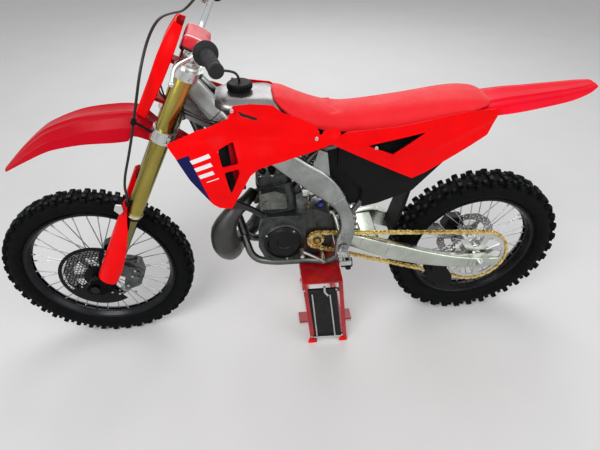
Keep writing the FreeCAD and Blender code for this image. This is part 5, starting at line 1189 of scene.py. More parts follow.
def closed_off(rings, ends, lead=0.0):
    """Rings carried on at both ends: drawn in towards their middles by the shares in the list of ends, each
    pushed on along the bike by its own part of the lead."""
    middle = rings.mean(axis=1, keepdims=True)
    front = [middle[:1] + (rings[:1] - middle[:1]) * share - (lead * part, 0, 0) for share, part in ends]
    back = [middle[-1:] + (rings[-1:] - middle[-1:]) * share + (lead * part, 0, 0)
            for share, part in ends[::-1]]
    return np.concatenate(front + [rings] + back)


def body_of_rings(table, per, around_steps, grow=0.0):
    """A closed body through rings of (half width, height) points, mirrored over the middle. Rings are smooth
    between stations and round at their corners, and both ends close to a point."""
    rings = np.array([[(x, -width, height) for width, height in rows] +
                      [(x, width, height) for width, height in reversed(rows)] for x, rows in table], float)
    fine = closed_ring(through(rings, per), around_steps)
    fine = fine + unit(fine - fine.mean(axis=1, keepdims=True)) * grow
    return gridded(mm(closed_off(fine, [(0.0, 0.9), (0.55, 0.5), (0.85, 0.0)], 3.5)), wrap_columns=True)


def bar_cushion_shape():
    """The pad round the bars: one rounded outline carried across the bike, drawn in at both ends."""
    outline = np.array([(-58, 955), (-56, 951), (14, 951), (17, 956), (17, 982), (12, 991), (-50, 993),
                        (-59, 986)])
    middle = np.array((-21.0, 972.0))
    half = [(0, 1.0), (30, 1.0), (50, 0.99), (64, 0.96), (68, 0.88)]
    places = [(-y, grow) for y, grow in half[:0:-1]] + half
    rings = [upright(middle + (outline - middle) * grow, y) for y, grow in places]
    ring = closed_ring(through(rings, 5), 4)
    return gridded(steered(closed_off(ring, [(0.0, 0), (0.6, 0)])), wrap_columns=True)


def cap_ribs():
    """Grip ribs round the fuel cap."""
    turn = np.linspace(0, TURN, 24, endpoint=False)
    turns = [basis((0, 0, 1), (math.sin(a), -math.cos(a), 0)) for a in turn]
    places = np.column_stack([37.2 * polar(turn) + (-150, 0), np.full(24, 1042)])
    return repeated(box((-2.2, -2.6, 9), (2.2, 2.6, 22), 1.5), turns, mm(places))


CLOTH_FRAMES = 20


def swelled(piece, pressure, cap, voxel, held):
    """Remeshes a padded piece, blows it up a little with the cloth simulation and puts the result in its
    mesh. No point moves further than the cap, and those that the held function picks stay put."""
    for item in bpy.context.selected_objects:
        item.select_set(False)
    bpy.context.view_layer.objects.active = piece
    piece.select_set(True)
    remesh = piece.modifiers.new("even mesh", "REMESH")
    remesh.mode, remesh.voxel_size, remesh.use_smooth_shade = "VOXEL", voxel, True
    bpy.ops.object.modifier_apply(modifier=remesh.name)
    mesh = piece.data
    before, after = np.empty((2, len(mesh.vertices) * 3))
    mesh.vertices.foreach_get("co", before)
    before = before.reshape(-1, 3)
    group = piece.vertex_groups.new(name="held")
    group.add(np.flatnonzero(held(before)).tolist(), 1.0, "REPLACE")
    cloth = piece.modifiers.new("cloth", "CLOTH")
    settings = {"use_pressure": True, "uniform_pressure_force": pressure, "vertex_group_mass": "held",
                "quality": 5, "tension_stiffness": 20, "compression_stiffness": 20, "bending_stiffness": 4}
    for name, value in settings.items():
        setattr(cloth.settings, name, value)
    cloth.settings.effector_weights.gravity = 0.0
    cloth.point_cache.frame_start, cloth.point_cache.frame_end = 1, CLOTH_FRAMES
    scene = bpy.context.scene
    for number in range(1, CLOTH_FRAMES + 1):
        scene.frame_set(number)
    shown = piece.evaluated_get(bpy.context.evaluated_depsgraph_get())
    shown.data.vertices.foreach_get("co", after)
    move = after.reshape(-1, 3) - before
    move *= np.minimum(1.0, cap / np.maximum(np.linalg.norm(move, axis=1, keepdims=True), 1e-9))
    piece.modifiers.remove(cloth)
    scene.frame_set(1)
    mesh.vertices.foreach_set("co", (before + move).ravel())
    piece.vertex_groups.clear()
    mesh.update()


def smooth_padded(piece):
    mesh = piece.data
    mesh.shade_smooth()
    rounder = piece.modifiers.new("rounder", "SUBSURF")
    rounder.levels = rounder.render_levels = 1


# Exhaust and engine

# x, y, z, radius
PIPE = [(-132, 0, 660, 21), (-166, -42, 646, 23), (-214, -66, 612, 31), (-244, -72, 552, 45),
        (-246, -62, 484, 50), (-236, -26, 424, 47), (-220, 34, 386, 38), (-188, 100, 374, 32),
        (-142, 130, 404, 29), (-104, 140, 474, 26), (-52, 144, 560, 22), (20, 150, 646, 18),
        (100, 150, 716, 17), (210, 142, 784, 17), (322, 131.6, 821, 16.2)]


def pipe_shape():
    """The expansion chamber: a round section whose radius follows the table, with weld seams between its
    cones."""
    rows = mm(through(PIPE, 8))
    seams = np.zeros(len(rows))
    seams[8:-8:8] = 0.9 * MM
    return round_tube(rows[:, :3], rows[:, 3] + seams, 32)


SILENCER_FOOT = (324, 131.4, 821.7)


def silencer_shape():
    """The silencer: a sleeve with end caps, turned about its own slanted axis, and the strap of its mount."""
    tilt, across, up = math.radians(76), unit(np.array((0.07, 1.0, 0.0))), np.array((0.0, 0.0, 1.0))
    direction = up * math.cos(tilt) + np.cross(across, up) * math.sin(tilt)
    profile = [(14, 8), (17.5, -8), (20.5, -8), (20.5, 6), (21, 14), (30, 34), (40, 50), (43.4, 54),
               (43.4, 62), (42.4, 64), (42.4, 290), (43.6, 292), (43.6, 302), (41, 308), (30, 318), (22, 323),
               (16, 323), (15, 300)]
    strap = rod([(598, 62, 956), (598, 108, 908)], 8, 16)
    return together([turned_at(profile, SILENCER_FOOT, direction), strap])


def on_cylinder(back, right, up):
    """Places in the cylinder's own frame, which leans forward about the middle of its foot, millimetres."""
    lean, rise = math.sin(CYLINDER_LEAN), math.cos(CYLINDER_LEAN)
    back, right, up = np.broadcast_arrays(back, right, up)
    return np.stack([-42 + back * rise - up * lean, right, 604 + back * lean + up * rise], -1)


def engine_screws():
    """Screws round the engine covers and nuts on the cylinder's head."""
    left = screws([(-94, -101, 536), (4, -101, 549), (-22, -101, 420)], LEFT, 4.6, 3.6)
    clutch = screws(around((34, 0, 496), 67, 8, 0.2, 107), (0, 1, 0), 4.2, 3.4)
    pump = screws(around((-62, 0, 448), 28, 4, 0.6, 107), (0, 1, 0), 3.8, 3.2)
    head = on_cylinder(np.array([-42, 42, -42, 42, 0, 0]), np.array([-40, -40, 40, 40, -46, 46]), 152)
    nuts = screws(head, on_cylinder(0, 0, 1) - on_cylinder(0, 0, 0), 6.5, 6.0, hex_head)
    return together([left, clutch, pump, nuts])


def engine_ribs():
    """Cast ribs and bosses on the crankcase's left side, and the joint lines round the cylinder."""
    ends = [((-100, 470), (-78, 470)), ((-96, 520), (-84, 560)), ((8, 566), (30, 590)),
            ((-86, 420), (-60, 446)), ((0, 406), (6, 440))]
    ribs = [rod(upright(np.array(pair), -82), 3.2, 10) for pair in ends]
    across, along = squared(np.linspace(0, TURN, 49), 0.5).T
    for level, reach in ((4, 63), (30, 64), (44, 64), (58, 64), (112, 63), (121, 59)):
        ribs.append(rod(on_cylinder(across * reach, along * (reach - 6), level), 2.2, 8))
    return together(ribs)


def case_shell():
    """The crankcase's left half: a rounded casting that swells round the flywheel, with dull bolts on its
    rim."""
    wide = prism([(-110, 590, 22), (-122, 540, 30), (-126, 470, 44), (-98, 396, 40), (30, 386, 24),
                  (47, 420, 20), (47, 590, 10), (20, 606, 8), (-84, 606, 12)], -84, -60)
    swell = turned_at([(0, 18), (70, 18), (79, 12), (84, 0), (84, -12), (0, -12)], (-33, -78, 486))
    bolts = screws([(-104, -84, 574), (-62, -84, 592), (28, -84, 590), (36, -84, 404), (-88, -84, 412)], LEFT,
                   6.0, 5.0)
    return together([wide, swell, bolts])


def cover_skirt():
    """The black skirt that the flywheel cover sits in."""
    return turned_at([(62, 8), (70, 7), (74, 3), (74, -6), (62, -6)], (-33, -96, 486), steps=72)


def head_web():
    """The plates that join the steering head to the spars and the down tube, one on each side."""
    return prism([(-318, 1062, 6), (-236, 990, 6), (-196, 945, 6), (-240, 925, 8), (-322, 974, 6)], -37,
                 -30).both()


def airbox_front_shape():
    """The airbox's flanks in front of its skins, inside the spars, down to the swingarm."""
    outline = [(86, 884, 6), (104, 806, 10), (148, 712, 16), (196, 655, 10), (262, 642, 12), (300, 700, 20),
               (240, 884, 10)]
    return panel(outline, [], lambda flat: np.full(len(flat), 87.5), 2.4, 9.0).both()


def caliper_details():
    """The front caliper's piston bosses and bridge."""
    bosses = [turned_at([(0, 7), (12, 7), (15, 4), (18, 3), (18, -4), (0, -4)], (x, -77, z), steps=28)
              for x, z in ((62, 98), (70, 54))]
    bridge = prism([(30, 118, 4), (86, 110, 4), (94, 40, 4), (82, 40, 4), (74, 100, 4), (34, 106, 4)], -84,
                   -74)
    return together([*bosses, bridge]).leaned()


def caliper_bolts():
    """Pale bolts of the caliper, the axle clamp and the disc guard."""
    small = screws([(-758, -70, 338), (-766, -70, 295), (-807, -70, 313), (-697, -84, 286)], LEFT, 4.6, 4.0,
                   hex_head)
    clamp = screws([(-713, -112, 379), (-683, -112, 358)], LEFT, 5.0, 5.0)
    large = screws([(-672, -82, 275), (-612, -82, 277), (-630, -84, 318), (-605, -84, 365), (-590, -84, 392)],
                   LEFT, 6.0, 5.0, hex_head)
    return together([small, clamp, large])


CABLES = [[(-322, -52, 1192), (-368, -46, 1142), (-388, -44, 1090), (-374, -54, 1048), (-331, -70, 1027),
           (-280, -82, 1003), (-235, -88, 984), (-190, -70, 966)],
          [(-318, -44, 1196), (-360, -38, 1146), (-380, -36, 1086), (-366, -46, 1036), (-330, -62, 1010),
           (-282, -74, 990), (-238, -80, 972), (-190, -62, 956)]]


def cylinder_jacket():
    """The cylinder's cast jacket, bulging forward on its left side, with a round boss low down and screws."""
    jacket = prism([(-112, 640, 10), (-16, 640, 10), (-22, 700, 12), (-58, 716, 12), (-112, 704, 12)], -84,
                   -58)
    boss = turned_at([(0, 5), (9, 5), (13, 3), (13, -8), (0, -8)], (-88, -84, 662), steps=28)
    heads = screws([(-30, -84, 652), (-30, -84, 694), (-100, -84, 694)], LEFT, 4.5, 3.5)
    return together([jacket, boss, heads])


def spar_gusset():
    """The tab welded below each spar that holds the seat of the tank and the shroud's rear end."""
    return prism([(58, 792, 4), (128, 748, 6), (112, 872, 4), (84, 884, 4)], -112, -104).both()


def footpeg_spring():
    """The return spring and bracket beside each footpeg."""
    turn = np.linspace(0, 5 * TURN, 90)
    coil = upright((203, 396) + 9 * polar(turn), -128 - turn * 0.75)
    bracket = prism([(180, 376, 4), (226, 376, 4), (222, 418, 8), (188, 420, 8)], -126, -118)
    return together([rod(coil, 2.0, 8), bracket]).both()


def carburettor_bits():
    """The jet holder and the bright bowl nut of the carburettor, and the nut that holds the engine's
    sprocket."""
    ring = turned_at([(0, 4), (7, 4), (9, 2), (9, -14), (0, -14)], (62, -44, 600), steps=24)
    bowl = turned_at([(0, 12), (13, 12), (17, 8), (18, 0), (16, -12), (0, -12)], (89, -40, 590), (0, 0, 1),
                     28)
    nut = turned_at([(0, 13), (9, 13), (12, 10), (12, 0), (10, -4), (0, -4)], (93, -76, 479), steps=6)
    return together([ring, bowl, nut])


def choke_knob():
    """The blue knob of the choke."""
    return turned_at([(0, 9), (8, 9), (10, 6), (10, -9), (0, -9)], (105, -52, 629), steps=24)


ENGINE_HOSES = [
    ([(-232, -126, 778), (-226, -124, 742), (-190, -104, 690), (-130, -84, 640), (-104, -70, 606)], 11),
    ([(-206, -120, 900), (-160, -96, 872), (-118, -52, 800), (-92, -30, 762)], 11),
    ([(-63, 0, 806), (-66, 2, 838), (-90, 20, 862), (-60, 50, 872), (20, 60, 850)], 3.5),
    ([(92, -22, 612), (92, -40, 580), (96, -64, 520), (120, -70, 470), (132, -60, 400)], 3),
    ([(70, -22, 650), (60, -60, 640), (70, -78, 690), (120, -80, 700)], 3)]


def engine_hoses():
    """The radiator hoses, the plug lead and the carburettor's thin hoses."""
    return together([hose(route, radius) for route, radius in ENGINE_HOSES])


VENT_HOSE = [(-150, 0, 1068.3), (-150, 0, 1094), (-188, 6, 1103), (-220, 10, 1101)]


# Fork, bars and controls

def on_leg(profile, steps=56, wrap=True):
    """A lathe piece in steering-frame millimetres round each fork leg."""
    shape = lathe(mm(profile), steps, wrap).moved(shift=mm((LEG_BACK, LEG_SPREAD, 0)))
    return shape.leaned().both()


def fork_tube_shape():
    """The fork's outer tubes: a lip and a groove at the lower end, a slight taper and the top's stepped
    edge."""
    return on_leg([(24.4, 376), (28, 376), (29, 377.5), (29, 382), (28, 383), (28, 385), (29, 386), (29, 390),
                   (27.8, 392), (27.2, 394), (27.0, 396), (27.0, 526), (27.5, 640), (27.5, 925), (26, 927),
                   (24.5, 928), (24.5, 932), (22, 933), (0, 933), (0, 640), (24.4, 636)], 64)


def fork_cap_shape():
    """The fork's top caps: a collar with a hex and an adjuster on it."""
    hexes = on_leg([(0, 932), (17, 932), (17, 941), (15.5, 943), (7, 943), (7, 946), (0, 946)], 6, wrap=False)
    collar = on_leg([(27.6, 918), (29.5, 919), (29.5, 929), (26, 933.4), (16, 933.4), (16, 926)])
    return together([hexes, collar])


def dust_seals():
    """The black seals that close the outer tubes' lower ends."""
    return on_leg([(24.2, 366), (27.0, 366), (28.0, 369), (28.0, 375.8), (24.2, 375.8)])


def fork_guard_shape():
    """The fork guards: part of a cylinder round each leg. How far it wraps to the rear follows the height."""
    levels = np.linspace(66, 418, 60)[:, None]
    rear = np.interp(levels, [64, 78, 130, 190, 255, 300, 330, 380, 420],
                     [30, 40, 44, 36, 22, 8, 0, -24, -44])
    front = np.interp(levels, [64, 90, 300, 380, 420], [128, 150, 160, 146, 112])
    share = np.linspace(0, 1, 30)
    wrap = np.radians((90 - rear) * (1 - share) + (90 + front) * share)
    reach = 42.3 + 1.5 * hump(share - 0.5, 0.2)
    across = np.maximum(LEG_SPREAD + reach * np.sin(wrap), LEG_SPREAD - 17)
    points = np.stack([LEG_BACK + reach * np.cos(wrap), across, np.broadcast_to(levels, across.shape)], -1)
    return thickened(facing(gridded(steered(points)), (0, 1, 0)), 3.4 * MM).both()


BAR_TIP = (20, 402, 1060)
BAR_BEND = (-12.4, 251.8, 1040.9)


def grip_shape():
    """Rubber grips: a profile with ribs along most of its length, a wide flange inside and a domed end."""
    outline = [(0, -6), (15, -6), (17.4, -3), (17.4, 2)]
    for at in np.arange(10, 100, 4.0):
        outline += [(15.6, at), (16.8, at + 1), (16.8, at + 2.4), (15.6, at + 3.4)]
    outline += [(16.5, 104), (18, 108), (29, 112), (30, 114), (30, 116), (28, 118), (11.4, 118), (11.4, -0.3),
                (0, -0.3)]
    return turned_at(outline, BAR_TIP, np.subtract(BAR_BEND, BAR_TIP), 40).leaned().both()


GUARD_RADIUS = 147


def disc_guard_shape():
    """The carbon disc guard: a rim and a lower field trimmed flat, and a mesh of thin crossed bars in its
    forward windows. All of it bows out as the square of the distance from the axle."""
    def bowed(flat, out):
        rise = 3.0 * (np.hypot(flat[:, 0], flat[:, 1]) / GUARD_RADIUS) ** 2
        return upright(flat, rise - 4.0 + out) + (-57.0, -60.0, 0.0)

    outline = np.vstack([[(0, 0)], GUARD_RADIUS * polar(np.radians(np.linspace(96, 328, 49)))])
    sweep = np.radians(np.linspace(104, 234, 31))
    window = np.vstack([134 * polar(sweep), 56 * polar(sweep[::-1])])
    flat, faces = trimmed(outline, [window], 9.0)
    plate = thickened(Shape(steered(bowed(flat, 0.0)), [faces]), 3.4 * MM)
    bars = []
    for slant in np.radians((32, -32, 90)):
        along, square = polar(slant), polar(slant + TURN / 4)
        for offset in np.arange(-140, 141, 11.0):
            samples = square * offset + along * np.linspace(-150, 150, 121)[:, None]
            good = np.concatenate([[False], inside(samples, window), [False]])
            edges = np.flatnonzero(good[1:] != good[:-1])
            for first, last in zip(edges[::2], edges[1::2]):
                if last - first >= 3:
                    line = samples[[first, last - 1]] + along * np.array([[-2.5], [2.5]])
                    bars.append(round_tube(steered(bowed(line, 1.8)), 1.1 * MM, 4))
    stay = prism([(-70, 20, 3), (-44, 20, 3), (-34, 80, 3), (-56, 84, 3)], -81, -62)
    return together([plate, stay.leaned(), *bars])


BRAKE_HOSE = [(-44, 225.4, 1050), (-52, 196, 1040), (-76, 150, 985), (-108, 80, 985), (-134, 6, 980),
              (-142, -56, 938), (-134, -112, 868), (-118, -130, 780), (-96, -134, 640), (-82, -132, 500),
              (-50, -121.3, 440), (-50, -121.3, 330), (-34, -134.5, 240), (-4, -130.6, 190), (28, -108, 176),
              (42, -62, 168), (42, -60, 139)]


def hose_shape():
    return round_tube(spline(steered(BRAKE_HOSE), 12), 4.0 * MM, 14)


def hose_clips():
    """The clamp on the left fork tube that guides the brake hose, and the one on the guard."""
    ring = lathe(mm([(4.1, -8), (8.0, -8), (8.0, 8), (4.1, 8)]), 20)
    clips = together(ring.moved(shift=mm(place)) for place in ((-109.5, -132.6, 724), (-50, -121.3, 430)))
    stay = round_tube(steered([(-104, -131, 722), (-52, -116, 704)]), 4.2 * MM, 10)
    return together([clips.leaned(), stay])


def guide_bracket():
    """The bright bracket at the top of the left leg guard that holds the brake hose."""
    return prism([(-86, 424, 4), (-66, 428, 4), (-56, 408, 4), (-62, 390, 4), (-84, 400, 4)], -143,
                 -138.5).leaned()


def clamp_screws():
    """Pinch screws of both fork clamps and the screws of the bar mounts."""
    pinch = screws([(-4, 137.5, z) for z in (694, 714, 904)], (0, 1, 0), 5.2, 5.0)
    mounts = screws([(x, y, 986) for x in (-32, -2) for y in (42, 58)], (0, 0, 1), 4.6, 5.0)
    return together([pinch, mounts]).leaned().both()


# Stand

def stand_trim():
    """What the stand carries on its near side: two bright rods beside the dark panel, the latch under the top
    plate, a cross rod low down and bolts in the legs."""
    rods = [rod([(x, -181, z), (x_end, -181, z_end)], 3.4) for x, z, x_end, z_end in (
        (65, 298, 91, 44), (134, 290, 168, 24), (78, 34, 194, 30))]
    rods.append(rod([(111, -183, 336), (112, -186, 312), (125, -186, 291)], 5.0))
    bolts = screws([(34, -182, 322), (158, -182, 318), (70, -182, 40), (196, -182, 40)], LEFT, 5.0, 3.5,
                   hex_head)
    return together([*rods, bolts])


def stand_feet():
    """Bright red shoes on the feet of the stand's legs, on both sides."""
    shoes = [prism([(x, 2, 3), (x + 30, 2, 3), (x + 24, top, 3), (x + 8, top, 3)], -185, -175)
             for x, top in ((54, 26), (184, 24))]
    return together(shoes).both()


# Stage

def studio_sky():
    """A white backdrop that lights the bike less than it shows to the camera and in bright surfaces."""
    scene = bpy.context.scene
    world = scene.world = scene.world or bpy.data.worlds.new("studio")
    world.use_nodes = True
    tree = world.node_tree
    tree.nodes.clear()
    rays = step(tree, "LightPath").outputs
    camera, glossy, through_glass = (Field(tree, rays[name]) for name in (
        "Is Camera Ray", "Is Glossy Ray", "Is Transmission Ray"))
    seen = camera.math("MAXIMUM", glossy.math("MAXIMUM", through_glass))
    sky = made(tree, "Background", {}, {"Color": (1.0, 1.0, 1.0, 1.0),
                                        "Strength": ramped(seen, 0.0, 1.0, 0.42, 0.9)})
    step(tree, "OutputWorld", {}, {0: sky})


def studio_floor(colour):
    """A wide plain floor in faint patches of two colours."""
    finish, tree, shader = blank_finish("floor_paint")
    faint = ramped(speckle(object_place(tree), 3.0, 3.0), 0.3, 0.7)
    second = tuple(0.97 * c for c in colour[:3]) + (1.0,)
    wire(tree, shader, {"Base Color": mixed(faint, colour, second), "Roughness": 0.9,
                        "Specular IOR Level": 0.1})
    u, v = np.meshgrid(np.linspace(-9, 9, 13), np.linspace(-9, 14, 16), indexing="ij")
    floor = gridded(np.stack([u, v, np.full_like(u, -0.0005)], -1))
    mesh = bpy.data.meshes.new("floor")
    mesh.from_pydata(floor.points.tolist(), [], floor.faces[0].tolist())
    mesh.materials.append(finish)
    placed("floor", mesh)


def photo_camera():
    """The camera, where the photograph's stood: turned aside, then tipped down, then rolled."""
    camera = bpy.data.cameras.new("camera")
    camera.sensor_width, camera.lens = CAMERA_SENSOR, CAMERA_LENS
    level = math.cos(CAMERA_PITCH)
    forward = Vector((math.sin(CAMERA_YAW) * level, math.cos(CAMERA_YAW) * level, -math.sin(CAMERA_PITCH)))
    right = forward.cross(Vector((0, 0, 1))).normalized()
    above = right.cross(forward)
    roll = math.cos(CAMERA_ROLL), math.sin(CAMERA_ROLL)
    axes = Matrix((right * roll[0] + above * roll[1], above * roll[0] - right * roll[1], -forward))
    holder = placed("camera", camera)
    holder.matrix_world = Matrix.Translation(CAMERA_PLACE) @ axes.transposed().to_4x4()
    bpy.context.scene.camera = holder


# Settings and operators

# What settings of one kind share
COLOUR = dict(subtype="COLOR", size=3, min=0.0, max=1.0)
PITCHES = dict(min=20, max=60)
LENGTH = dict(subtype="DISTANCE", unit="LENGTH")


class DirtBikeSettings(bpy.types.PropertyGroup):
    plastic_colour: bpy.props.FloatVectorProperty(
        name="Plastic", description="Colour of the shrouds and side panels, linear", default=RED[:3],
        **COLOUR)
    front_pitches: bpy.props.IntProperty(
        name="Front tread pitches", description="Rows of knobs round the front tyre", default=42, **PITCHES)
    rear_pitches: bpy.props.IntProperty(
        name="Rear tread pitches", description="Rows of knobs round the rear tyre", default=36, **PITCHES)
    front_knob: bpy.props.FloatProperty(
        name="Front knob height", description="How far the front tyre's knobs stand out", default=0.011,
        min=0.004, max=0.016, **LENGTH)
    rear_knob: bpy.props.FloatProperty(
        name="Rear knob height", description="How far the rear tyre's knobs stand out", default=0.015,
        min=0.004, max=0.02, **LENGTH)
    seat_swell: bpy.props.FloatProperty(
        name="Seat swell", description="How far the padding may push the seat's cover out", default=0.005,
        min=0.0, max=0.012, **LENGTH)
    pad_swell: bpy.props.FloatProperty(
        name="Pad swell", description="How far the padding may push the bar pad's cover out", default=0.006,
        min=0.0, max=0.012, **LENGTH)
    floor_colour: bpy.props.FloatVectorProperty(
        name="Floor", description="Colour of the floor, linear", default=(0.80, 0.80, 0.80), **COLOUR)


# Finish of the CAD nodes that show as they are
NODE_FINISHES = {
    "shaded_cradle_alloy": ("frame_cradle", "subframe"),
    "black_plastic": ("tank_cap", "radiators", "airbox", "mud_flap", "chain_guides"),
    "engine_alloy": ("crankcase", "cylinder"),
    "black_cover": ("engine_covers",),
    "chain_gold": ("front_sprocket",),
    "chrome_steel": ("rear_axle", "handlebar"),
    "black_alloy": ("rear_caliper", "front_axle"),
    "stand_red": ("stand_frame",),
    "shade_steel": ("stand_panel",),
    "slider_gold": ("fork_sliders",),
    "magnesium": ("front_caliper",),
    "wire_steel": ("front_spokes", "rear_spokes"),
    "bright_alloy": ("carburettor", "rear_shock", "footpegs", "foot_levers", "lower_clamp", "upper_clamp",
                     "hand_levers", "front_hub", "rear_hub", "rear_sprocket"),
}


class DIRTBIKE_OT_finishes(bpy.types.Operator):
    """Makes every finish and gives the CAD nodes theirs"""
    bl_idname = "dirtbike.finishes"
    bl_label = "Finishes"

    def execute(self, context):
        make_finishes(context.scene.dirt_bike)
        for finish, nodes in NODE_FINISHES.items():
            for node in nodes:
                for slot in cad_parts[node].material_slots:
                    slot.material = FINISHES[finish]
        return {"FINISHED"}


class DIRTBIKE_OT_wheels(bpy.types.Operator):
    """Builds the knobbed tyres, the rims, the spoke nipples and the brake discs"""
    bl_idname = "dirtbike.wheels"
    bl_label = "Wheels"

    def execute(self, context):
        settings = context.scene.dirt_bike
        front_rows = [(12, 15, 13, 1.0, 0.0), (26, 13, 12, 0.95, 0.5), (44, 17, 12, 0.9, 0.0)]
        rear_rows = [(11, 15, 19, 1.0, 0.0), (27, 15, 16, 0.95, 0.5), (46, 20, 16, 0.9, 0.0)]
        wheels = (
            ("front", FRONT_AXLE, FRONT_RADIUS, FRONT_RIM, 84, 50, front_rows, (-50, 130, 40, 6)),
            ("rear", REAR_AXLE, REAR_RADIUS, REAR_RIM, 116, 66, rear_rows, (50, 120, 52, 6)))
        for end, axle, radius, seat, width, rim_width, rows, disc in wheels:
            body = end + "_wheel"
            pitches, knobs = (getattr(settings, end + word) for word in ("_pitches", "_knob"))
            tread = tyre(axle, radius, width, seat, rim_width, pitches, knobs / MM, rows)
            add_piece(end + "_tyre_tread", tread, end + "_rubber", body, end + "_tyre")
            add_piece(end + "_rim_hoop", rim(axle, seat, rim_width), "black_alloy", body,
                      replaces=end + "_rim")
            add_piece(end + "_nipples", nipples(axle, seat - RIM_DEPTH), "wire_steel", body)
            add_piece(end + "_brake_disc", brake_disc(axle, *disc), "disc_steel", body,
                      replaces=end + "_disc")
        return {"FINISHED"}


class DIRTBIKE_OT_drive(bpy.types.Operator):
    """Builds the drive chain link by link"""
    bl_idname = "dirtbike.drive"
    bl_label = "Drive chain"

    def execute(self, context):
        add_piece("drive_chain", chain_shape(), "chain_gold", replaces="chain")
        return {"FINISHED"}


class DIRTBIKE_OT_frame(bpy.types.Operator):
    """Builds the frame's spars and the swingarm with their welds"""
    bl_idname = "dirtbike.frame"
    bl_label = "Frame and swingarm"

    def execute(self, context):
        add_piece("spars", frame_shape(), "frame_alloy", replaces="frame_spars")
        add_piece("swingarm_beams", swingarm_shape(), "swingarm_alloy",
                  replaces="swingarm")
        return {"FINISHED"}


class DIRTBIKE_OT_panels(bpy.types.Operator):
    """Builds the shrouds, side panels, airbox skins, fenders and the number plate"""
    bl_idname = "dirtbike.panels"
    bl_label = "Plastics"

    def execute(self, context):
        for name, shape, finish, body, node, sharp, bevel in (
                ("tank_shrouds", shroud_shape, "shroud_plastic", "chassis", "shrouds", 38, 0.0008),
                ("shroud_louvres", vent_louvres, "painted_shade_plastic", "chassis", None, 38, 0.0),
                ("rear_side_panels", side_panel_shape, "red_plastic", "chassis", "side_panels", 38, 0.0008),
                ("fender_rear", rear_fender_shape, "sky_sheen_tail_plastic", "chassis", "rear_fender", 60, 0.0008),
                ("fender_front", front_fender_shape, "shaded_fender_plastic", "steering", "front_fender", 60,
                 0.0008),
                ("number_plate", front_plate_shape, "red_plastic", "steering", "front_plate", 60, 0.0008),
                ("leg_guards", fork_guard_shape, "red_plastic", "steering", "fork_guards", 60, 0.0006)):
            add_piece(name, shape(), finish, body, node, sharp, bevel)
        # The sheets behind the vents are black plastic laid in as painted shade.
        for name, shape in (("shroud_shade_sheets", vent_shade_sheets()), ("airbox_skins", airbox_side_shape()),
                            ("airbox_front", airbox_front_shape())):
            add_piece(name, shape, "black_plastic")
        places = [(-175, -118, 1030), (-228, -197, 770), (72, -136, 938), (262, -131, 893)]
        add_piece("shroud_screws", screws(places, LEFT, 6.0, 4.0).both(), "bright_alloy")
        return {"FINISHED"}


class DIRTBIKE_OT_tank(bpy.types.Operator):
    """Builds the fuel tank, the cap's grip and the vent hose"""
    bl_idname = "dirtbike.tank"
    bl_label = "Fuel tank"

    def execute(self, context):
        add_piece("tank_shell", body_of_rings(TANK, 8, 5, 1.5), "tank_silver", replaces="fuel_tank", sharp=60)
        add_piece("cap_ribs", cap_ribs(), "black_plastic")
        add_piece("tank_vent_hose", hose(VENT_HOSE, 4, per=12), "hose_rubber",
                  replaces="vent_hose")
        return {"FINISHED"}


class DIRTBIKE_OT_padding(bpy.types.Operator):
    """Builds the seat and the bar pad, and lets a cloth simulation fill them out"""
    bl_idname = "dirtbike.padding"
    bl_label = "Seat and bar pad"

    def execute(self, context):
        settings = context.scene.dirt_bike
        seat = add_piece("saddle", body_of_rings(SEAT, 8, 6, 2.0), "seat_cover", replaces="seat")
        pad = add_piece("bar_cushion", bar_cushion_shape(), "pad_cover", "steering", "bar_pad")
        stations = mm([(x, rows[1][1]) for x, rows in SEAT]).T
        swelled(seat, 3.0, settings.seat_swell, 0.006,
                lambda co: co[:, 2] < np.interp(co[:, 0], *stations))
        swelled(pad, 4.0, settings.pad_swell, 0.004, lambda co: np.zeros(len(co), bool))
        for piece, fill in ((seat, 0.9), (pad, 0.8)):
            smooth_padded(piece)
        return {"FINISHED"}


class DIRTBIKE_OT_engine(bpy.types.Operator):
    """Builds the expansion chamber, the silencer, the engine's screws, ribs and hoses"""
    bl_idname = "dirtbike.engine"
    bl_label = "Engine and exhaust"

    def execute(self, context):
        add_piece("chamber", pipe_shape(), "pipe_steel", replaces="expansion_chamber", sharp=50)
        add_piece("silencer_can", silencer_shape(), "bright_alloy", replaces="silencer")
        for name, shape, finish, slot, bevel in (
                ("engine_screws", engine_screws(), "chrome_steel", None, 0.0),
                ("case_shell", case_shell(), "engine_alloy", None, 0.0015),
                ("cover_skirt", cover_skirt(), "black_cover", None, 0.0),
                ("head_webs", head_web(), "tank_silver", "frame_alloy", 0.001),
                ("engine_ribs", engine_ribs(), "engine_alloy", None, 0.0),
                ("cylinder_casting", cylinder_jacket(), "jacket_alloy", "engine_alloy", 0.002),
                ("spar_gussets", spar_gusset(), "frame_alloy", None, 0.0),
                ("footpeg_springs", footpeg_spring(), "black_alloy", None, 0.0),
                ("carburettor_bits", carburettor_bits(), "brass", "bright_alloy", 0.0),
                ("choke_knob", choke_knob(), "blue_anodised", "bright_alloy", 0.0),
                ("engine_hoses", engine_hoses(), "hose_rubber", "rubber_black", 0.0)):
            add_piece(name, shape, finish, bevel=bevel)
        return {"FINISHED"}


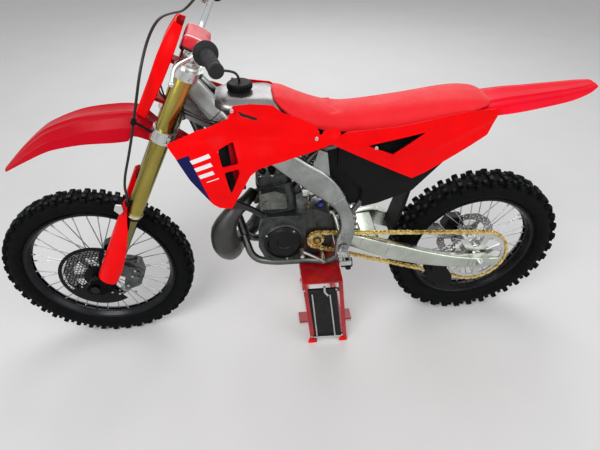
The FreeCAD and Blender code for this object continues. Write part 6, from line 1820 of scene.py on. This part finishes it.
class DIRTBIKE_OT_fork(bpy.types.Operator):
    """Builds the fork tubes, grips, disc guard, brake hose and their screws"""
    bl_idname = "dirtbike.fork"
    bl_label = "Fork and controls"

    def execute(self, context):
        for name, shape, finish, slot, node in (
                ("fork_outer_tubes", fork_tube_shape(), "gold_alloy", None, "fork_tubes"),
                ("fork_caps", fork_cap_shape(), "bright_alloy", None, None),
                ("dust_seals", dust_seals(), "black_plastic", None, None),
                ("guide_bracket", guide_bracket(), "bright_alloy", None, None),
                ("bar_grips", grip_shape(), "rubber_black", None, "grips"),
                ("brake_disc_guard", disc_guard_shape(), "black_plastic", None, "disc_guard"),
                ("brake_line", hose_shape(), "hose_rubber", "rubber_black", "brake_hose"),
                ("hose_clips", hose_clips(), "black_plastic", None, None),
                ("clamp_screws", clamp_screws(), "chrome_steel", None, None),
                ("caliper_bolts", caliper_bolts(), "chrome_steel", None, None)):
            add_piece(name, shape, finish, "steering", node)
        add_piece("caliper_details", caliper_details(), "magnesium", "steering", bevel=0.0006)
        tubes = together([hose(route, 2.6, 10) for route in CABLES])
        cables = add_piece("control_cables", tubes, "hose_rubber", None)
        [tuple(mm(CABLES[0][place])) for place in (1, 5)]
        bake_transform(cables)
        return {"FINISHED"}


class DIRTBIKE_OT_stand(bpy.types.Operator):
    """Builds the lift stand's rods, latch and bolts"""
    bl_idname = "dirtbike.stand"
    bl_label = "Lift stand"

    def execute(self, context):
        add_piece("stand_trim", stand_trim(), "bright_alloy")
        add_piece("stand_feet", stand_feet(), "red_plastic")
        return {"FINISHED"}


class DIRTBIKE_OT_stage(bpy.types.Operator):
    """Sets up the floor, the backdrop, the lights and the camera"""
    bl_idname = "dirtbike.stage"
    bl_label = "Stage"

    def execute(self, context):
        studio_sky()
        studio_floor(tuple(context.scene.dirt_bike.floor_colour) + (1.0,))
        for name, place, target, size, power in (
                ("key_light", (-1.6, -2.6, 3.6), (0, 0, 0.5), 2.2, 92.0),
                ("fill_light", (2.8, -2.2, 2.2), (0.2, 0, 0.5), 2.6, 36.0),
                ("rim_light", (0.4, 3.2, 3.2), (0, 0, 0.6), 3.0, 62.0)):
            lamp = bpy.data.lights.new(name, "AREA")
            lamp.size, lamp.energy = size, power
            item = placed(name, lamp)
            item.location, item.rotation_mode = place, "QUATERNION"
            item.rotation_quaternion = (Vector(target) - Vector(place)).to_track_quat("-Z", "Y")
        photo_camera()
        context.scene.view_settings.view_transform = "Standard"
        return {"FINISHED"}


OPERATORS = (DIRTBIKE_OT_stage, DIRTBIKE_OT_finishes, DIRTBIKE_OT_wheels, DIRTBIKE_OT_drive,
             DIRTBIKE_OT_frame, DIRTBIKE_OT_panels, DIRTBIKE_OT_tank, DIRTBIKE_OT_padding, DIRTBIKE_OT_engine,
             DIRTBIKE_OT_fork, DIRTBIKE_OT_stand)


class DIRTBIKE_PT_panel(bpy.types.Panel):
    bl_idname = "DIRTBIKE_PT_panel"
    bl_label = "Dirt Bike"
    bl_space_type = "VIEW_3D"
    bl_region_type = "UI"
    bl_category = "Dirt Bike"

    def draw(self, context):
        for name in DirtBikeSettings.__annotations__:
            self.layout.prop(context.scene.dirt_bike, name)
        for operator in OPERATORS:
            self.layout.operator(operator.bl_idname)


CLASSES = (DirtBikeSettings, *OPERATORS, DIRTBIKE_PT_panel)


def register():
    for kind in CLASSES:
        bpy.utils.register_class(kind)
    bpy.types.Scene.dirt_bike = bpy.props.PointerProperty(type=DirtBikeSettings)


def unregister():
    del bpy.types.Scene.dirt_bike
    for kind in reversed(CLASSES):
        bpy.utils.unregister_class(kind)


def main():
    register()
    bpy.ops.dirtbike.stage()
    bpy.ops.dirtbike.finishes()
    bpy.ops.dirtbike.wheels()
    bpy.ops.dirtbike.drive()
    bpy.ops.dirtbike.frame()
    bpy.ops.dirtbike.panels()
    bpy.ops.dirtbike.tank()
    bpy.ops.dirtbike.padding()
    bpy.ops.dirtbike.engine()
    bpy.ops.dirtbike.fork()
    bpy.ops.dirtbike.stand()


if __name__ == "__main__":
    main()
